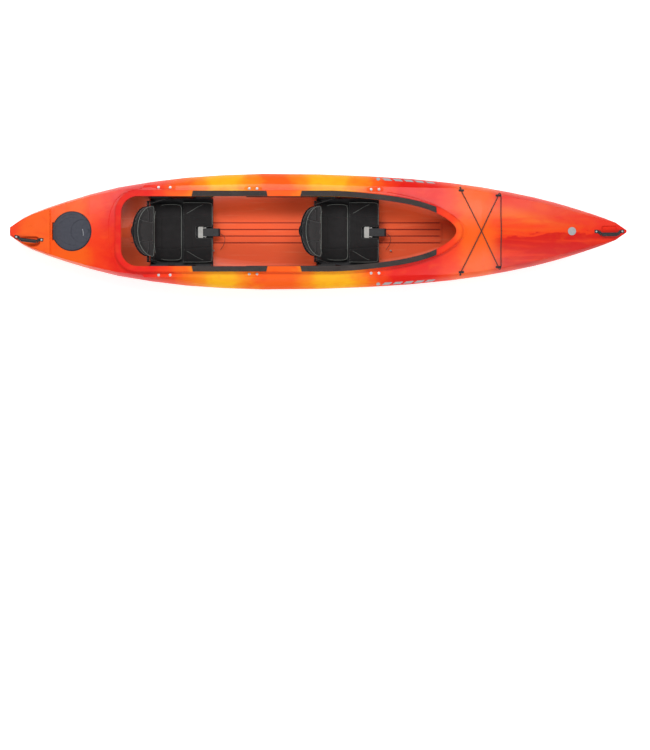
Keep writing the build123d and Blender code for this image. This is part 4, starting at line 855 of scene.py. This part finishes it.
def loose_parts(piece):
    """Each separate strap as a piece of its own, from stern to bow and starboard to port."""
    pick(piece)
    bpy.ops.object.mode_set(mode="EDIT")
    bpy.ops.mesh.select_all(action="SELECT")
    bpy.ops.mesh.separate(type="LOOSE")
    bpy.ops.object.mode_set(mode="OBJECT")
    return sorted(bpy.context.selected_objects, key=centre_of)


for seat, x0 in SEATS.items():
    strap_low = (x0 + 0.096, 0, 0.224)
    strap_high = (x0 - 0.030, 0, 0.282)
    straps = loose_parts(merged_copy(f"{seat}_seat_back_straps", f"{seat}_side_strap"))
    for part, word in zip(straps, ("starboard", "port")):
        part.name = part.data.name = f"{seat}_side_strap_{word}"
        sliced(part, strap_low, strap_high, 12)
        modify(part, "BEVEL", width=0.0006, segments=2, angle_limit=radians(50))
        dress(smooth(part), strap_finish)
        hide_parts(f"{seat}_seat_back_straps")
        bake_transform(part)
    loop = merged_copy(f"{seat}_seat_back_handle", f"{seat}_back_loop")
    modify(loop, "BEVEL", width=0.0007, segments=2, angle_limit=radians(50))
    dress(smooth(loop, 50), strap_finish)
    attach(loop, BACKREST[seat])
    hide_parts(f"{seat}_seat_back_handle")

for end in ("bow", "stern"):
    ties = loose_parts(merged_copy(f"{end}_handle_webbing", f"{end}_webbing"))
    for part, word in zip(ties, ("aft", "fore")):
        part.name = part.data.name = f"{end}_webbing_{word}"
        xs = [v.co.x for v in part.data.vertices]
        ys = [v.co.y for v in part.data.vertices]
        low = min(v.co.z for v in part.data.vertices) + 0.002
        middle = sum(ys) / len(ys)
        tab, near = (min(xs) + 0.024, max(xs)) if word == "aft" else (max(xs) - 0.024, min(xs))
        start = (tab, middle, low)
        finish_at = (near, middle, low)
        sliced(part, start, finish_at, 8)
        modify(part, "BEVEL", width=0.0005, segments=2, angle_limit=radians(50))
        dress(smooth(part), strap_finish)
        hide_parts(f"{end}_handle_webbing")
        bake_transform(part)


# ---------------------------------------------------------------- moulded lines on the deck and the hatch
# How much of a bead's radius lies below the surface
SINK = 0.4


def moulded_line(name, places, node, radius, material, body):
    """A low bead moulded on a surface, from places seen from above."""
    points = [(x, y, on_top(node, x, y) - radius * SINK) for x, y in places]
    line = dress(tube(name, points, radius), material)
    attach(line, body)


STEP_AFT = [(-1.175, 0.284), (-1.24, 0.276), (-1.31, 0.246), (-1.358, 0.200), (-1.386, 0.130),
            (-1.396, 0.060)]
STEP_FORE = [(0.46, 0.262), (0.58, 0.240), (0.70, 0.206), (0.80, 0.165), (0.88, 0.118), (0.945, 0.066),
             (0.985, 0.025)]
for name, half in (("step_line_aft", STEP_AFT), ("step_line_fore", STEP_FORE)):
    across = half + [(half[-1][0], 0.0)] + [(x, -y) for x, y in reversed(half)]
    moulded_line(name, across, "deck", 0.0026, deck_finish, "boat")

HATCH_X = -1.641
BEAD_RADIUS = 0.113
SWOOSH = [(-1.742, 0.030), (-1.715, 0.062), (-1.680, 0.084), (-1.640, 0.094), (-1.610, 0.092)]
# the latch's lip: a real low bead, coloured pale grey as a painted highlight along its edge
HIGHLIGHT_LIP = [(-1.570, 0.014), (-1.566, 0.000), (-1.564, -0.014), (-1.564, -0.024), (-1.566, -0.032)]

turns = [radians(a) for a in range(70, 300, 10)]
ring = [(HATCH_X + BEAD_RADIUS * cos(turn), BEAD_RADIUS * sin(turn)) for turn in turns]
moulded_line("hatch_edge_bead", ring, "hatch_cover", 0.0016, slate, "hatch_cover")
for side, word in PORT_AND_STARBOARD:
    swoosh = [(x, side * y) for x, y in SWOOSH]
    moulded_line(f"hatch_swoosh_{word}", swoosh, "hatch_cover", 0.0018, slate, "hatch_cover")
moulded_line("hatch_latch_highlight_lip", HIGHLIGHT_LIP, "hatch_latch", 0.0022, lip_highlight_grey, "hatch_latch")
